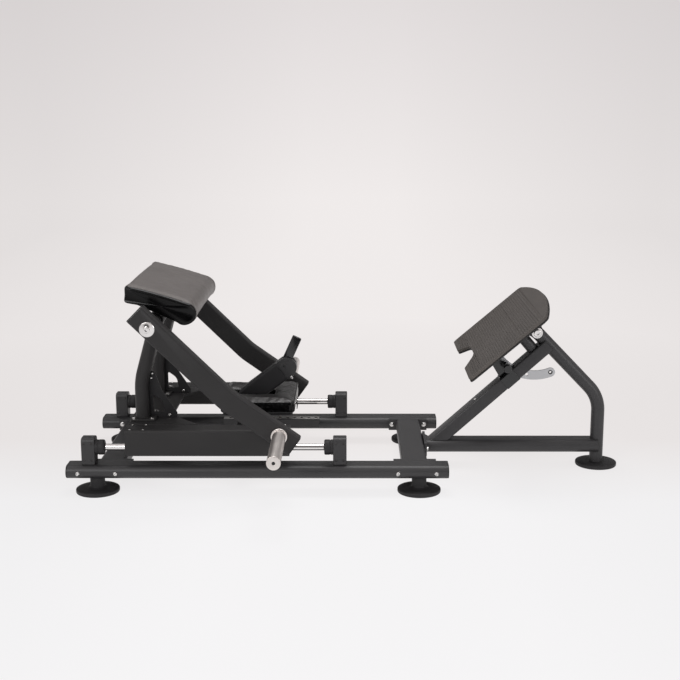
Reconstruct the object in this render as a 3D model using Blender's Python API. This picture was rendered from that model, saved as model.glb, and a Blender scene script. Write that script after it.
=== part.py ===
"""Hip-thrust (glute) machine for a gym floor.

A floor frame of two rails carries guide rods, on which a carriage slides. The
carriage holds two posts that carry an axle. The two weight arms swing with the
axle, and the back pad tilts on it. A stand at the front holds an indexed foot plate.

Metres, +X from the pad towards the foot plate, +Y away from the operator's
side, +Z up, origin on the floor under the middle of the overall box.
"""

import math

import bmesh
import bpy
from mathutils import Matrix, Vector

# Fits and facets
GAP = 0.0003
RUN_CLEARANCE = 0.0005
TUBE_WALL = 0.003
ROUND = 20
SMALL_ROUND = 12
CORNER_STEPS = 3

# Floor rails, flat-oval tube
RAIL_WIDTH = 0.100
RAIL_HEIGHT = 0.050
RAIL_LENGTH = 1.420
RAIL_LEFT = -1.060
RAIL_CENTRE_Y = 0.334
RAIL_BOTTOM = 0.060

# Levelling feet
FOOT_RADIUS = 0.082
FOOT_DISC = 0.016
FOOT_EDGE = 0.003
FOOT_HUB_RADIUS = 0.0275
FOOT_STUD_RADIUS = 0.006
FOOT_STUD_REACH = 0.010
FOOT_INSET = 0.108
FOOT_SPIGOT = 0.030

# Cross members between the rails
CROSS_WIDTH = 0.098
CROSS_HEIGHT = 0.046
CROSS_CORNER = 0.012
REAR_CROSS_INSET = 0.155
FRONT_CROSS_INSET = 0.1225
FLANGE_LENGTH = 0.160
FLANGE_THICK = 0.010
COPE_DEPTH = 0.012

# Guide rods and the blocks that hold them
ROD_RADIUS = 0.0125
ROD_RISE = 0.062
BLOCK_LENGTH = 0.050
BLOCK_WIDTH = 0.058
BLOCK_HEIGHT = 0.103
BLOCK_ROUND = 0.010
BLOCK_SKIN = 0.006
REAR_BLOCK_INSET = 0.082
FRONT_BLOCK_INSET = 0.404
BUMPER_RADIUS = 0.0285
BUMPER_LENGTH = 0.033

# Perforated index bar inside the far rail
BAR_SIZE = 0.040
BAR_BOTTOM = 0.080
BAR_MARGIN = 0.028
BAR_HOLE_RADIUS = 0.0065
HOLE_PITCH = 0.030
HOLES_BEFORE_LOCK = 7
HOLES_AFTER_LOCK = 5

# Carriage
COVER_LEFT = -0.837
COVER_LENGTH = 0.607
COVER_WIDTH = 0.086
COVER_TOP = 0.248
COVER_SKIN = 0.003
OUTER_SKIRT = 0.098
INNER_SKIRT = 0.073
COVER_CORNER = 0.010
BEARING_LENGTH = 0.060
BEARING_INSET = 0.006
DECK_LENGTH = 0.260
DECK_THICK = 0.010
DECK_BAY = 0.113
DECK_BAY_HALF = 0.158
CARRIAGE_CROSS_X = -0.405
CARRIAGE_CROSS_WIDTH = 0.090
CARRIAGE_CROSS_HEIGHT = 0.050
CARRIAGE_CROSS_Z = 0.180

# Pad posts, axle and gussets
AXLE_X = -0.728
AXLE_Z = 0.640
AXLE_RADIUS = 0.0175
POST_Y = 0.190
POST_DEPTH = 0.050
POST_BREADTH = 0.100
POST_FOOT_X = -0.796
POST_KNEE_Z = 0.400
POST_BEND = 0.260
POST_BOSS_RADIUS = 0.028
POST_PLATE_LENGTH = 0.094
POST_PLATE_BREADTH = 0.130
POST_PLATE_THICK = 0.008
GUSSET_THICK = 0.008
GUSSET_REACH = 0.104
GUSSET_WAIST = 0.046
GUSSET_WAIST_Z = 0.357
WASHER_RADIUS = 0.0275
WASHER_THICK = 0.004
BOLT_HEAD_RADIUS = 0.015
BOLT_HEAD = 0.011

# Release boom and lever
BOOM_BREADTH = 0.050
BOOM_DEPTH = 0.080
BOOM_CORNER = 0.010
BOOM_ANGLE = math.radians(37.2)
BOOM_X = -0.418
BOOM_RISE = 0.0742
BOOM_REACH = 0.1625
BOOM_BEND = 0.075
HEAD_OVERLAP = 0.026
HEAD_TENON = 0.012
HEAD_INSET = 0.0006
LEVER_PIN_RADIUS = 0.004
LEVER_PIN_BACK = 0.0036
LEVER_PIN_RISE = 0.0109
LEVER_SLOT_SPACE = 0.002
LEVER_BREADTH = 0.018
LEVER_DEPTH = 0.0372
LEVER_LENGTH = 0.123
LEVER_CORNER = 0.004
LEVER_LEAN = math.radians(24.5)

# Seat over the cross tube
SEAT_FRONT_X = -0.218
SEAT_LENGTH = 0.290
SEAT_HALF_WIDTH = 0.163
SEAT_TOP = 0.303
SEAT_THICK = 0.050
SEAT_CROWN = 0.003
SEAT_CORNER = 0.022
SEAT_NOTCH_HALF = 0.038
SEAT_NOTCH_LENGTH = 0.205
SEAT_NOTCH_CORNER = 0.012
SEAT_BOARD_THICK = 0.008
SEAT_BOARD_INSET = 0.010
SEAT_LEG_LENGTH = 0.060
SEAT_LEG_BREADTH = 0.040
SEAT_LEG_Y = 0.105

# Carriage lock above the index bar
LOCK_X = -0.3007
LOCK_LENGTH = 0.110
LOCK_BREADTH = 0.055
LOCK_BOTTOM = 0.150
LOCK_HEIGHT = 0.059
LOCK_PIN_RADIUS = 0.0055
LOCK_KNOB_RADIUS = 0.011
LOCK_KNOB_HEIGHT = 0.008
LOCK_TRAVEL = 0.018

# Weight arms
ARM_CENTRE_Y = 0.420
ARM_BREADTH = 0.050
ARM_DEPTH = 0.080
ARM_CORNER = 0.010
ARM_BACK = 0.0725
ARM_DROP = 0.0075
ARM_UPPER_LENGTH = 0.384
ARM_LOWER_LENGTH = 0.297
ARM_UPPER_SLOPE = math.radians(44.6)
ARM_LOWER_SLOPE = math.radians(35.5)
ARM_BEND = 0.250
HORN_RADIUS = 0.0245
HORN_WALL = 0.004
HORN_LENGTH = 0.323
HORN_CHAMFER = 0.003
HORN_BACK = 0.070
HORN_RISE = 0.003
COLLAR_RADIUS = 0.030
COLLAR_THICK = 0.010
PEG_RADIUS = 0.015
PEG_LENGTH = 0.050
PEG_BACK = 0.1225

# Back pad
PAD_HALF_WIDTH = 0.330
PAD_ROUND = 0.022
PAD_CROWN = 0.006
PAD_TOP_BULGE = 0.005
PAD_NOSE_RADIUS = 0.041
PAD_NOSE_AHEAD = 0.118
PAD_NOSE_RISE = 0.033
PAD_BACK_REACH = 0.099
PAD_BACK_TOP = 0.1315
PAD_BACK_BOTTOM = 0.075
PAD_BACK_CORNER = 0.012
PAD_BOARD_THICK = 0.008
PAD_BOARD_WIDTH = 0.560
PAD_BOARD_BACK = 0.074
PAD_BOARD_FRONT = 0.066
PAD_SEAT_RISE = 0.0386
PAD_SEAT_SLOPE = math.radians(24.2)
SLEEVE_RADIUS = 0.026
SLEEVE_LENGTH = 0.240

# Front stand
STAND_FLANGE_THICK = 0.010
STAND_FLANGE_BREADTH = 0.170
STAND_FLANGE_HEIGHT = 0.058
STAND_REACH = 0.7415
STAND_POST_RADIUS = 0.026
STAND_POST_LEAN = math.radians(46.0)
STAND_POST_BEND = 0.140
INCLINE_BREADTH = 0.070
INCLINE_DEPTH = 0.050
INCLINE_CORNER = 0.006
PIVOT_OVER_INCLINE = 0.07243
INCLINE_FOOT_REACH = 0.110

# Foot plate, its pivot and the quadrant
PIVOT_BACK = 0.257
PIVOT_Z = 0.546
PIVOT_BOLT_RADIUS = 0.008
PIVOT_BOSS_RADIUS = 0.026
PIVOT_BOSS_LENGTH = 0.070
PLATE_TILT = math.radians(40.5)
PLATE_HALF_WIDTH = 0.336
PLATE_SIDE = 0.357
PLATE_CROWN = 0.085
PLATE_CORNER = 0.075
PLATE_TOE_CORNER = 0.016
PLATE_THICK = 0.006
MAT_THICK = 0.012
MAT_INSET = 0.002
RIB_PITCH = 0.010
RIB_GROOVE = 0.003
RIB_DEPTH = 0.0015
NOTCH_MOUTH = 0.155
NOTCH_FLOOR = 0.055
NOTCH_DEPTH = 0.052
PIVOT_FROM_TOE = 0.298
PIVOT_DROP = 0.103
EAR_THICK = 0.008
EAR_RADIUS = 0.024
EAR_SEAT_LENGTH = 0.110
EAR_TIE = 0.060
EAR_SEAT_THICK = 0.006
EAR_SEAT_BACK = 0.018
STOP_RADIUS = 0.0225
STOP_FROM_TOE = 0.2435
STOP_RUBBER = 0.012
QUADRANT_INNER = 0.160
QUADRANT_OUTER = 0.197
QUADRANT_THICK = 0.006
INDEX_RADIUS = 0.178
INDEX_HOLE_RADIUS = 0.0055
INDEX_FROM_INCLINE = math.radians(82.3)
INDEX_PITCH = math.radians(30.5)
SLOT_CLEARANCE = 0.0012

# Index pin of the foot plate
PIN_RADIUS = 0.005
PIN_KNOB_RADIUS = 0.0175
PIN_KNOB_LENGTH = 0.024
PIN_TRAVEL = 0.008
BARREL_RADIUS = 0.0115
BARREL_LENGTH = 0.034
HOUSING_BREADTH = 0.028
HOUSING_RISE = 0.062
HOUSING_SKIN = 0.003
HOUSING_BEHIND = 0.0538
HOUSING_AHEAD = 0.0089

# Levels and lines that follow from the sizes above
RAIL_TOP = RAIL_BOTTOM + RAIL_HEIGHT
RAIL_MID = RAIL_BOTTOM + RAIL_HEIGHT / 2
RAIL_RIGHT = RAIL_LEFT + RAIL_LENGTH
RAIL_INNER = RAIL_CENTRE_Y - RAIL_WIDTH / 2
REAR_CROSS_X = RAIL_LEFT + REAR_CROSS_INSET
FRONT_CROSS_X = RAIL_RIGHT - FRONT_CROSS_INSET
REAR_BLOCK_X = RAIL_LEFT + REAR_BLOCK_INSET
FRONT_BLOCK_X = RAIL_RIGHT - FRONT_BLOCK_INSET
STAND_POST_X = FRONT_CROSS_X + STAND_REACH
INCLINE_FOOT_X = FRONT_CROSS_X + INCLINE_FOOT_REACH
PIVOT_X = STAND_POST_X - PIVOT_BACK
PIVOT_RUN = PIVOT_X - INCLINE_FOOT_X
PIVOT_CLIMB = PIVOT_Z - RAIL_TOP
INCLINE_SLOPE = (math.atan2(PIVOT_CLIMB, PIVOT_RUN)
                 - math.asin(PIVOT_OVER_INCLINE / math.hypot(PIVOT_RUN, PIVOT_CLIMB)))
INDEX_REST = INCLINE_SLOPE - INDEX_FROM_INCLINE
ROD_Z = RAIL_TOP + ROD_RISE
COVER_RIGHT = COVER_LEFT + COVER_LENGTH
COVER_INNER = RAIL_CENTRE_Y - COVER_WIDTH / 2
ARM_INNER = ARM_CENTRE_Y - ARM_BREADTH / 2
ARM_OUTER = ARM_CENTRE_Y + ARM_BREADTH / 2

PIVOT = Vector((PIVOT_X, 0, PIVOT_Z))
AXLE = Vector((AXLE_X, 0, AXLE_Z))
Y_AXIS = Vector((0, 1, 0))
Z_AXIS = Vector((0, 0, 1))


def slope(angle):
    """Return the unit vector in the XZ plane that climbs at an angle."""
    return Vector((math.cos(angle), 0, math.sin(angle)))


def above(direction):
    """Return the XZ-plane normal on the upper side of a direction."""
    return Vector((-direction.z, 0, direction.x))


PLATE_DIR = slope(PLATE_TILT)
PLATE_UP = above(PLATE_DIR)
PLATE_TOE = PIVOT - PLATE_DIR * PIVOT_FROM_TOE + PLATE_UP * PIVOT_DROP
PLATE_UNDER = MAT_THICK + PLATE_THICK
INCLINE_DIR = slope(INCLINE_SLOPE)
INCLINE_UP = above(INCLINE_DIR)
INCLINE_FOOT = Vector((INCLINE_FOOT_X, 0, RAIL_TOP))
STAND_POST_DIR = slope(-STAND_POST_LEAN)
PIN_POINT = PIVOT + Vector((math.sin(INDEX_REST), 0, -math.cos(INDEX_REST))) * INDEX_RADIUS

MATERIALS = {
    "charcoal_frame": ((0.045, 0.045, 0.047), 0.55, 0.35),
    "black_plastic": ((0.020, 0.020, 0.021), 0.45, 0.0),
    "gloss_black": ((0.008, 0.008, 0.009), 0.18, 0.0),
    "black_rubber": ((0.025, 0.025, 0.026), 0.85, 0.0),
    "ribbed_mat": ((0.085, 0.078, 0.072), 0.80, 0.0),
    "grey_leather": ((0.090, 0.088, 0.090), 0.60, 0.0),
    "chrome": ((0.75, 0.75, 0.76), 0.10, 1.0),
    "silver_steel": ((0.55, 0.55, 0.56), 0.30, 0.9),
}


def material(slot):
    """Return the named Principled material, made on first use."""
    found = bpy.data.materials.get(slot)
    if found:
        return found
    colour, roughness, metallic = MATERIALS[slot]
    made = bpy.data.materials.new(slot)
    made.use_nodes = True
    shader = made.node_tree.nodes["Principled BSDF"]
    shader.inputs["Base Color"].default_value = (*colour, 1)
    shader.inputs["Roughness"].default_value = roughness
    shader.inputs["Metallic"].default_value = metallic
    made.diffuse_color = (*colour, 1)
    return made


def add_object(name, bm, slot=None, pivot=None):
    """Close a bmesh into an object; a moving piece hangs on its pivot empty."""
    bmesh.ops.remove_doubles(bm, verts=bm.verts, dist=1e-6)
    bmesh.ops.recalc_face_normals(bm, faces=bm.faces)
    mesh = bpy.data.meshes.new(name)
    bm.to_mesh(mesh)
    bm.free()
    mesh.shade_smooth()
    mesh.set_sharp_from_angle(angle=math.radians(32))
    obj = bpy.data.objects.new(name, mesh)
    bpy.context.scene.collection.objects.link(obj)
    if slot:
        mesh.materials.append(material(slot))
    if pivot:
        obj.parent = pivot
        obj.location = -pivot.location
    return obj


def make_pivot(name, point):
    """Add the empty that stands on a joint's axis."""
    empty = bpy.data.objects.new(name, None)
    empty.location = point
    empty.empty_display_size = 0.05
    bpy.context.scene.collection.objects.link(empty)
    return empty


def boolean(obj, tool, operation="DIFFERENCE"):
    """Cut or join an object with a hidden tool object."""
    tool.hide_render = True
    tool.display_type = "WIRE"
    if obj.parent and tool.parent is None:
        tool.parent = obj.parent
        tool.location = -obj.parent.location
    step = obj.modifiers.new(tool.name, "BOOLEAN")
    step.operation = operation
    step.object = tool
    return obj


def rounded_box(width, height, radius, steps=CORNER_STEPS):
    """Return the 2-D loop of a rounded rectangle, centred on zero."""
    loop = []
    corners = ((1, 1, 0.0), (-1, 1, 0.5), (-1, -1, 1.0), (1, -1, 1.5))
    for sign_a, sign_b, start in corners:
        centre_a = sign_a * (width / 2 - radius)
        centre_b = sign_b * (height / 2 - radius)
        for step in range(steps + 1):
            angle = math.pi * (start + 0.5 * step / steps)
            loop.append((centre_a + radius * math.cos(angle),
                         centre_b + radius * math.sin(angle)))
    return loop


def filleted(corners):
    """Round a polygon; each corner is (a, b, radius, steps)."""
    loop = []
    count = len(corners)
    for index, (a, b, radius, steps) in enumerate(corners):
        here = Vector((a, b))
        if radius <= 0:
            loop.append((a, b))
            continue
        before = (Vector(corners[index - 1][:2]) - here).normalized()
        after = (Vector(corners[(index + 1) % count][:2]) - here).normalized()
        half = math.acos(max(-1.0, min(1.0, before.dot(after)))) / 2
        reach = radius / math.tan(half)
        centre = here + (before + after).normalized() * (radius / math.sin(half))
        first = here + before * reach - centre
        last = here + after * reach - centre
        turn = first.angle_signed(last)
        for step in range(steps + 1):
            angle = -turn * step / steps
            spin = Matrix.Rotation(angle, 2)
            point = centre + spin @ first
            loop.append((point.x, point.y))
    return loop


def bent_path(corners, radius, steps=6):
    """Return a path in the XZ plane whose inner corners are bent to a radius."""
    path = [corners[0]]
    for before, here, after in zip(corners, corners[1:], corners[2:]):
        back = (before - here).normalized()
        ahead = (after - here).normalized()
        half = back.angle(ahead) / 2
        centre = here + (back + ahead).normalized() * (radius / math.sin(half))
        first = here + back * (radius / math.tan(half)) - centre
        turn = math.pi - 2 * half
        normal = first.cross(ahead).normalized()
        for step in range(steps + 1):
            path.append(centre + Matrix.Rotation(turn * step / steps, 3, normal) @ first)
    path.append(corners[-1])
    return path


def sweep_rings(path, loop, across=Y_AXIS):
    """Return one ring of points at each place of a path."""
    rings = []
    for index, point in enumerate(path):
        before = path[max(index - 1, 0)]
        after = path[min(index + 1, len(path) - 1)]
        into = (point - before) if index else (after - point)
        out = (after - point) if index < len(path) - 1 else (point - before)
        along = (into.normalized() + out.normalized()).normalized()
        stretch = 1 / max(along.dot(out.normalized()), 0.5)
        up = along.cross(across).normalized() * stretch
        rings.append([point + across * a + up * b for a, b in loop])
    return rings


def bridge(bm, rings, closed=False):
    """Join successive rings of vertices by faces."""
    verts = [[bm.verts.new(point) for point in ring] for ring in rings]
    spans = list(zip(verts, verts[1:])) + ([(verts[-1], verts[0])] if closed else [])
    for first, second in spans:
        size = len(first)
        for i in range(size):
            j = (i + 1) % size
            bm.faces.new((first[i], first[j], second[j], second[i]))
    return verts


def swept(name, path, loop, slot=None, pivot=None, across=Y_AXIS):
    """Sweep a closed solid of the section along a path."""
    bm = bmesh.new()
    verts = bridge(bm, sweep_rings(path, loop, across))
    bm.faces.new(verts[0])
    bm.faces.new(verts[-1])
    return add_object(name, bm, slot, pivot)


def open_tube(name, path, outer, inner, slot, pivot=None, across=Y_AXIS):
    """Sweep a tube with open ends: an outer skin, a bore and two rims."""
    bm = bmesh.new()
    skin = sweep_rings(path, outer, across)
    bore = sweep_rings(path, inner, across)
    bridge(bm, skin + bore[::-1], closed=True)
    return add_object(name, bm, slot, pivot)


def capped_tube(name, path, outer, inner, slot, pivot=None, across=Y_AXIS):
    """Sweep a tube with closed ends one wall thick."""
    obj = swept(name, path, outer, slot, pivot, across)
    start = (path[1] - path[0]).normalized() * TUBE_WALL
    end = (path[-1] - path[-2]).normalized() * TUBE_WALL
    core_path = [path[0] + start] + list(path[1:-1]) + [path[-1] - end]
    return boolean(obj, swept(name + "_core", core_path, inner, across=across))


def extruded(name, loop, origin, axis_a, axis_b, depth, slot=None, pivot=None):
    """Extrude a 2-D loop, laid on two axes, by a depth vector."""
    bm = bmesh.new()
    face = bm.faces.new([bm.verts.new(origin + axis_a * a + axis_b * b) for a, b in loop])
    grown = bmesh.ops.extrude_face_region(bm, geom=[face])
    moved = [item for item in grown["geom"] if isinstance(item, bmesh.types.BMVert)]
    bmesh.ops.translate(bm, verts=moved, vec=depth)
    return add_object(name, bm, slot, pivot)


def box(name, low, high, slot=None, pivot=None, bevel=0.0):
    """Add a box between two corners, with all its edges rounded if asked."""
    low, high = Vector(low), Vector(high)
    bm = bmesh.new()
    place = Matrix.Translation((low + high) / 2) @ Matrix.Diagonal((*(high - low), 1))
    bmesh.ops.create_cube(bm, size=1, matrix=place)
    if bevel:
        bmesh.ops.bevel(bm, geom=list(bm.edges), offset=bevel, segments=2,
                        profile=0.5, affect="EDGES")
    return add_object(name, bm, slot, pivot)


def rod(name, start, end, radius, slot=None, pivot=None, facets=ROUND):
    """Add a round bar between two points."""
    bm = bmesh.new()
    run = end - start
    turn = Z_AXIS.rotation_difference(run).to_matrix().to_4x4()
    bmesh.ops.create_cone(bm, cap_ends=True, segments=facets, radius1=radius,
                          radius2=radius, depth=run.length,
                          matrix=Matrix.Translation((start + end) / 2) @ turn)
    return add_object(name, bm, slot, pivot)


def turned(name, origin, axis, profile, slot=None, pivot=None, facets=ROUND):
    """Spin a profile of (radius, height) pairs round an axis."""
    bm = bmesh.new()
    side = axis.orthogonal().normalized()
    verts = [bm.verts.new(origin + side * r + axis * h) for r, h in profile]
    edges = [bm.edges.new(pair) for pair in zip(verts, verts[1:])]
    if profile[0][0] > 0 and profile[-1][0] > 0:
        edges.append(bm.edges.new((verts[-1], verts[0])))
    bmesh.ops.spin(bm, geom=verts + edges, cent=origin, axis=axis, dvec=(0, 0, 0),
                   angle=math.tau, steps=facets, use_merge=True, use_duplicate=False)
    bmesh.ops.remove_doubles(bm, verts=bm.verts, dist=1e-6)
    return add_object(name, bm, slot, pivot)


def x_axis(x_from, x_to, y, z):
    """Return a straight path along X."""
    return [Vector((x_from, y, z)), Vector((x_to, y, z))]


def rail_section(spare=0.0):
    """Return the flat-oval section of the floor tubes, grown by spare."""
    height = RAIL_HEIGHT + 2 * spare
    return rounded_box(RAIL_WIDTH + 2 * spare, height, height / 2, CORNER_STEPS + 1)


def rails_and_feet():
    """Build both floor rails with the feet screwed into their undersides."""
    for label, side in (("near", -1), ("far", 1)):
        y = side * RAIL_CENTRE_Y
        rail = capped_tube(f"rail_{label}", x_axis(RAIL_LEFT, RAIL_RIGHT, y, RAIL_MID),
                           rail_section(), rail_section(-TUBE_WALL), "charcoal_frame")
        for end, x in (("rear", RAIL_LEFT + FOOT_INSET), ("front", RAIL_RIGHT - FOOT_INSET)):
            hole = rod(f"rail_{label}_{end}_hole", Vector((x, y, RAIL_BOTTOM - 0.01)),
                       Vector((x, y, RAIL_BOTTOM + 2 * TUBE_WALL)),
                       FOOT_STUD_RADIUS + RUN_CLEARANCE, facets=SMALL_ROUND)
            boolean(rail, hole)
            hub_top = RAIL_BOTTOM - GAP
            stud_top = RAIL_BOTTOM + TUBE_WALL + FOOT_STUD_REACH
            turned(f"foot_{end}_{label}", Vector((x, y, 0)), Z_AXIS,
                   [(0, 0), (FOOT_RADIUS - FOOT_EDGE, 0), (FOOT_RADIUS, FOOT_EDGE),
                    (FOOT_RADIUS, FOOT_DISC - FOOT_EDGE),
                    (FOOT_RADIUS - FOOT_EDGE, FOOT_DISC),
                    (FOOT_HUB_RADIUS, FOOT_DISC + 0.002), (FOOT_HUB_RADIUS, hub_top),
                    (FOOT_STUD_RADIUS, hub_top), (FOOT_STUD_RADIUS, stud_top),
                    (0, stud_top)], "black_rubber")


def cross_member(name, x):
    """Build a cross tube whose end flanges are coped round the rails."""
    half = RAIL_INNER + COPE_DEPTH
    loop = rounded_box(CROSS_WIDTH, CROSS_HEIGHT, CROSS_CORNER)
    inner = rounded_box(CROSS_WIDTH - 2 * TUBE_WALL, CROSS_HEIGHT - 2 * TUBE_WALL,
                        CROSS_CORNER - TUBE_WALL)
    path = [Vector((x, -half, RAIL_MID)), Vector((x, half, RAIL_MID))]
    across = Vector((1, 0, 0))
    member = swept(name, path, loop, "charcoal_frame", across=across)
    for side in (-1, 1):
        low = min(side * half, side * (RAIL_INNER - FLANGE_THICK))
        high = max(side * half, side * (RAIL_INNER - FLANGE_THICK))
        flange = box(f"{name}_flange_{side}",
                     (x - FLANGE_LENGTH / 2, low, RAIL_MID - CROSS_HEIGHT / 2),
                     (x + FLANGE_LENGTH / 2, high, RAIL_MID + CROSS_HEIGHT / 2))
        boolean(member, flange, "UNION")
        cope = swept(f"{name}_cope_{side}",
                     x_axis(x - FLANGE_LENGTH, x + FLANGE_LENGTH, side * RAIL_CENTRE_Y, RAIL_MID),
                     rail_section(GAP))
        boolean(member, cope)
    reach = Vector((0, 0.02, 0))
    boolean(member, swept(name + "_core", [path[0] - reach, path[1] + reach], inner,
                          across=across))


def rods_and_blocks():
    """Build the guide rods, and the end blocks with their rubber bumpers."""
    for label, side in (("near", -1), ("far", 1)):
        y = side * RAIL_CENTRE_Y
        for end, x, inward in (("rear", REAR_BLOCK_X, 1), ("front", FRONT_BLOCK_X, -1)):
            low = Vector((x - BLOCK_LENGTH / 2, y - BLOCK_WIDTH / 2, RAIL_TOP + GAP))
            high = Vector((x + BLOCK_LENGTH / 2, y + BLOCK_WIDTH / 2, RAIL_TOP + BLOCK_HEIGHT))
            bm = bmesh.new()
            place = Matrix.Translation((low + high) / 2) @ Matrix.Diagonal((*(high - low), 1))
            bmesh.ops.create_cube(bm, size=1, matrix=place)
            upper = [edge for edge in bm.edges
                     if max(vert.co.z for vert in edge.verts) > high.z - 1e-6]
            bmesh.ops.bevel(bm, geom=upper, offset=BLOCK_ROUND, segments=3,
                            profile=0.5, affect="EDGES")
            block = add_object(f"rod_block_{end}_{label}", bm, "black_plastic")
            face = Vector((x + inward * BLOCK_LENGTH / 2, y, ROD_Z))
            bumper = rod(f"rod_bumper_{end}_{label}", face - Vector((inward * 0.004, 0, 0)),
                         face + Vector((inward * BUMPER_LENGTH, 0, 0)), BUMPER_RADIUS)
            boolean(block, bumper, "UNION")
            back = x - inward * (BLOCK_LENGTH / 2 - BLOCK_SKIN)
            bore = rod(f"rod_bore_{end}_{label}", Vector((back, y, ROD_Z)),
                       face + Vector((inward * BUMPER_LENGTH * 2, 0, 0)),
                       ROD_RADIUS + RUN_CLEARANCE)
            boolean(block, bore)
        first = REAR_BLOCK_X - BLOCK_LENGTH / 2 + BLOCK_SKIN + GAP
        last = FRONT_BLOCK_X + BLOCK_LENGTH / 2 - BLOCK_SKIN - GAP
        rod(f"guide_rod_{label}", Vector((first, y, ROD_Z)), Vector((last, y, ROD_Z)),
            ROD_RADIUS, "chrome")


def index_bar():
    """Build the square bar with a row of lock holes in its top wall."""
    y = RAIL_INNER - GAP - BAR_SIZE / 2
    z = BAR_BOTTOM + BAR_SIZE / 2
    first = LOCK_X - HOLES_BEFORE_LOCK * HOLE_PITCH
    last = LOCK_X + HOLES_AFTER_LOCK * HOLE_PITCH
    inside = BAR_SIZE - 2 * TUBE_WALL
    bar = open_tube("index_bar", x_axis(first - BAR_MARGIN, last + BAR_MARGIN / 2, y, z),
                    rounded_box(BAR_SIZE, BAR_SIZE, 0.004, 2),
                    rounded_box(inside, inside, 0.002, 2), "charcoal_frame")
    drill = rod("index_bar_drill", Vector((first, y, z)),
                Vector((first, y, z + BAR_SIZE)), BAR_HOLE_RADIUS, facets=8)
    row = drill.modifiers.new("row", "ARRAY")
    row.count = HOLES_BEFORE_LOCK + HOLES_AFTER_LOCK + 1
    row.use_relative_offset = False
    row.use_constant_offset = True
    row.constant_offset_displace = (HOLE_PITCH, 0, 0)
    boolean(bar, drill)


def stand():
    """Build the front stand: flange, base tube, incline, post and stop."""
    face = FRONT_CROSS_X + CROSS_WIDTH / 2
    half = STAND_FLANGE_BREADTH / 2
    box("stand_flange",
        (face + GAP, -half, RAIL_MID - STAND_FLANGE_HEIGHT / 2),
        (face + STAND_FLANGE_THICK, half, RAIL_MID + STAND_FLANGE_HEIGHT / 2),
        "charcoal_frame")
    start = face + STAND_FLANGE_THICK + GAP
    base = open_tube("stand_base_tube", x_axis(start, STAND_POST_X, 0, RAIL_MID),
                     rail_section(), rail_section(-TUBE_WALL), "charcoal_frame")
    upright = Vector((STAND_POST_X, 0, 0))
    boolean(base, rod("stand_base_cope", upright, upright + Z_AXIS * RAIL_TOP * 1.5,
                      STAND_POST_RADIUS + GAP))
    boolean(base, box("stand_base_trim", (STAND_POST_X, -RAIL_WIDTH, 0),
                      (STAND_POST_X + RAIL_WIDTH, RAIL_WIDTH, RAIL_TOP * 1.5)))

    knee = Vector((STAND_POST_X, 0, PIVOT_Z - (STAND_POST_X - PIVOT_X)
                   * math.tan(STAND_POST_LEAN)))
    foot_top = FOOT_DISC + GAP
    path = bent_path([Vector((STAND_POST_X, 0, foot_top)), knee, PIVOT], STAND_POST_BEND, 5)
    ring = [(math.cos(math.tau * i / ROUND), math.sin(math.tau * i / ROUND))
            for i in range(ROUND)]
    bore = STAND_POST_RADIUS - TUBE_WALL
    post = swept("stand_post_tube", path,
                 [(a * STAND_POST_RADIUS, b * STAND_POST_RADIUS) for a, b in ring],
                 "charcoal_frame")
    half = PIVOT_BOSS_LENGTH / 2
    boolean(post, rod("stand_pivot_boss", PIVOT - Y_AXIS * half, PIVOT + Y_AXIS * half,
                      PIVOT_BOSS_RADIUS), "UNION")
    core = [path[0] - Z_AXIS * 0.01] + path[1:]
    boolean(post, swept("stand_post_core", core, [(a * bore, b * bore) for a, b in ring]))
    boolean(post, rod("stand_pivot_bore", PIVOT - Y_AXIS * PIVOT_BOSS_LENGTH,
                      PIVOT + Y_AXIS * PIVOT_BOSS_LENGTH, PIVOT_BOLT_RADIUS + RUN_CLEARANCE))
    turned("foot_stand", upright, Z_AXIS,
           [(0, 0), (FOOT_RADIUS - FOOT_EDGE, 0), (FOOT_RADIUS, FOOT_EDGE),
            (FOOT_RADIUS, FOOT_DISC - FOOT_EDGE), (FOOT_RADIUS - FOOT_EDGE, FOOT_DISC),
            (bore - GAP, FOOT_DISC), (bore - GAP, FOOT_DISC + FOOT_SPIGOT),
            (0, FOOT_DISC + FOOT_SPIGOT)], "black_rubber")

    meet = incline_meets_post()
    start = INCLINE_FOOT - INCLINE_DIR * INCLINE_DEPTH
    outer = rounded_box(INCLINE_BREADTH, INCLINE_DEPTH, INCLINE_CORNER, 2)
    inner = rounded_box(INCLINE_BREADTH - 2 * TUBE_WALL, INCLINE_DEPTH - 2 * TUBE_WALL,
                        INCLINE_CORNER - TUBE_WALL, 2)
    incline = open_tube("stand_incline_tube", [start, meet], outer, inner, "charcoal_frame")
    boolean(incline, box("incline_trim", (INCLINE_FOOT_X - 0.2, -0.1, 0),
                         (INCLINE_FOOT_X + 0.2, 0.1, RAIL_TOP + GAP)))
    boolean(incline, rod("incline_cope", meet - STAND_POST_DIR * 0.1,
                         meet + STAND_POST_DIR * 0.1, STAND_POST_RADIUS + GAP))
    boolean(incline, quadrant_slot("incline_slot"))

    tip = PLATE_TOE + PLATE_DIR * STOP_FROM_TOE - PLATE_UP * (PLATE_UNDER + GAP)
    seat = tip - PLATE_UP * STOP_RUBBER
    height = (tip - INCLINE_FOOT).dot(INCLINE_UP)
    stop = rod("plate_stop", tip - PLATE_UP * height, seat - PLATE_UP * GAP, STOP_RADIUS,
               "charcoal_frame")
    boolean(stop, swept("plate_stop_cope", [start, meet],
                        [(a * 1.5, b + math.copysign(GAP, b)) for a, b in
                         rounded_box(INCLINE_BREADTH, INCLINE_DEPTH, 0.001, 1)]))
    rod("plate_stop_rubber", seat, tip, STOP_RADIUS, "black_rubber")


def incline_meets_post():
    """Return where the incline's axis meets the post's axis."""
    offset = PIVOT - INCLINE_FOOT
    across = above(STAND_POST_DIR)
    return INCLINE_FOOT + INCLINE_DIR * (offset.dot(across) / INCLINE_DIR.dot(across))


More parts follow.
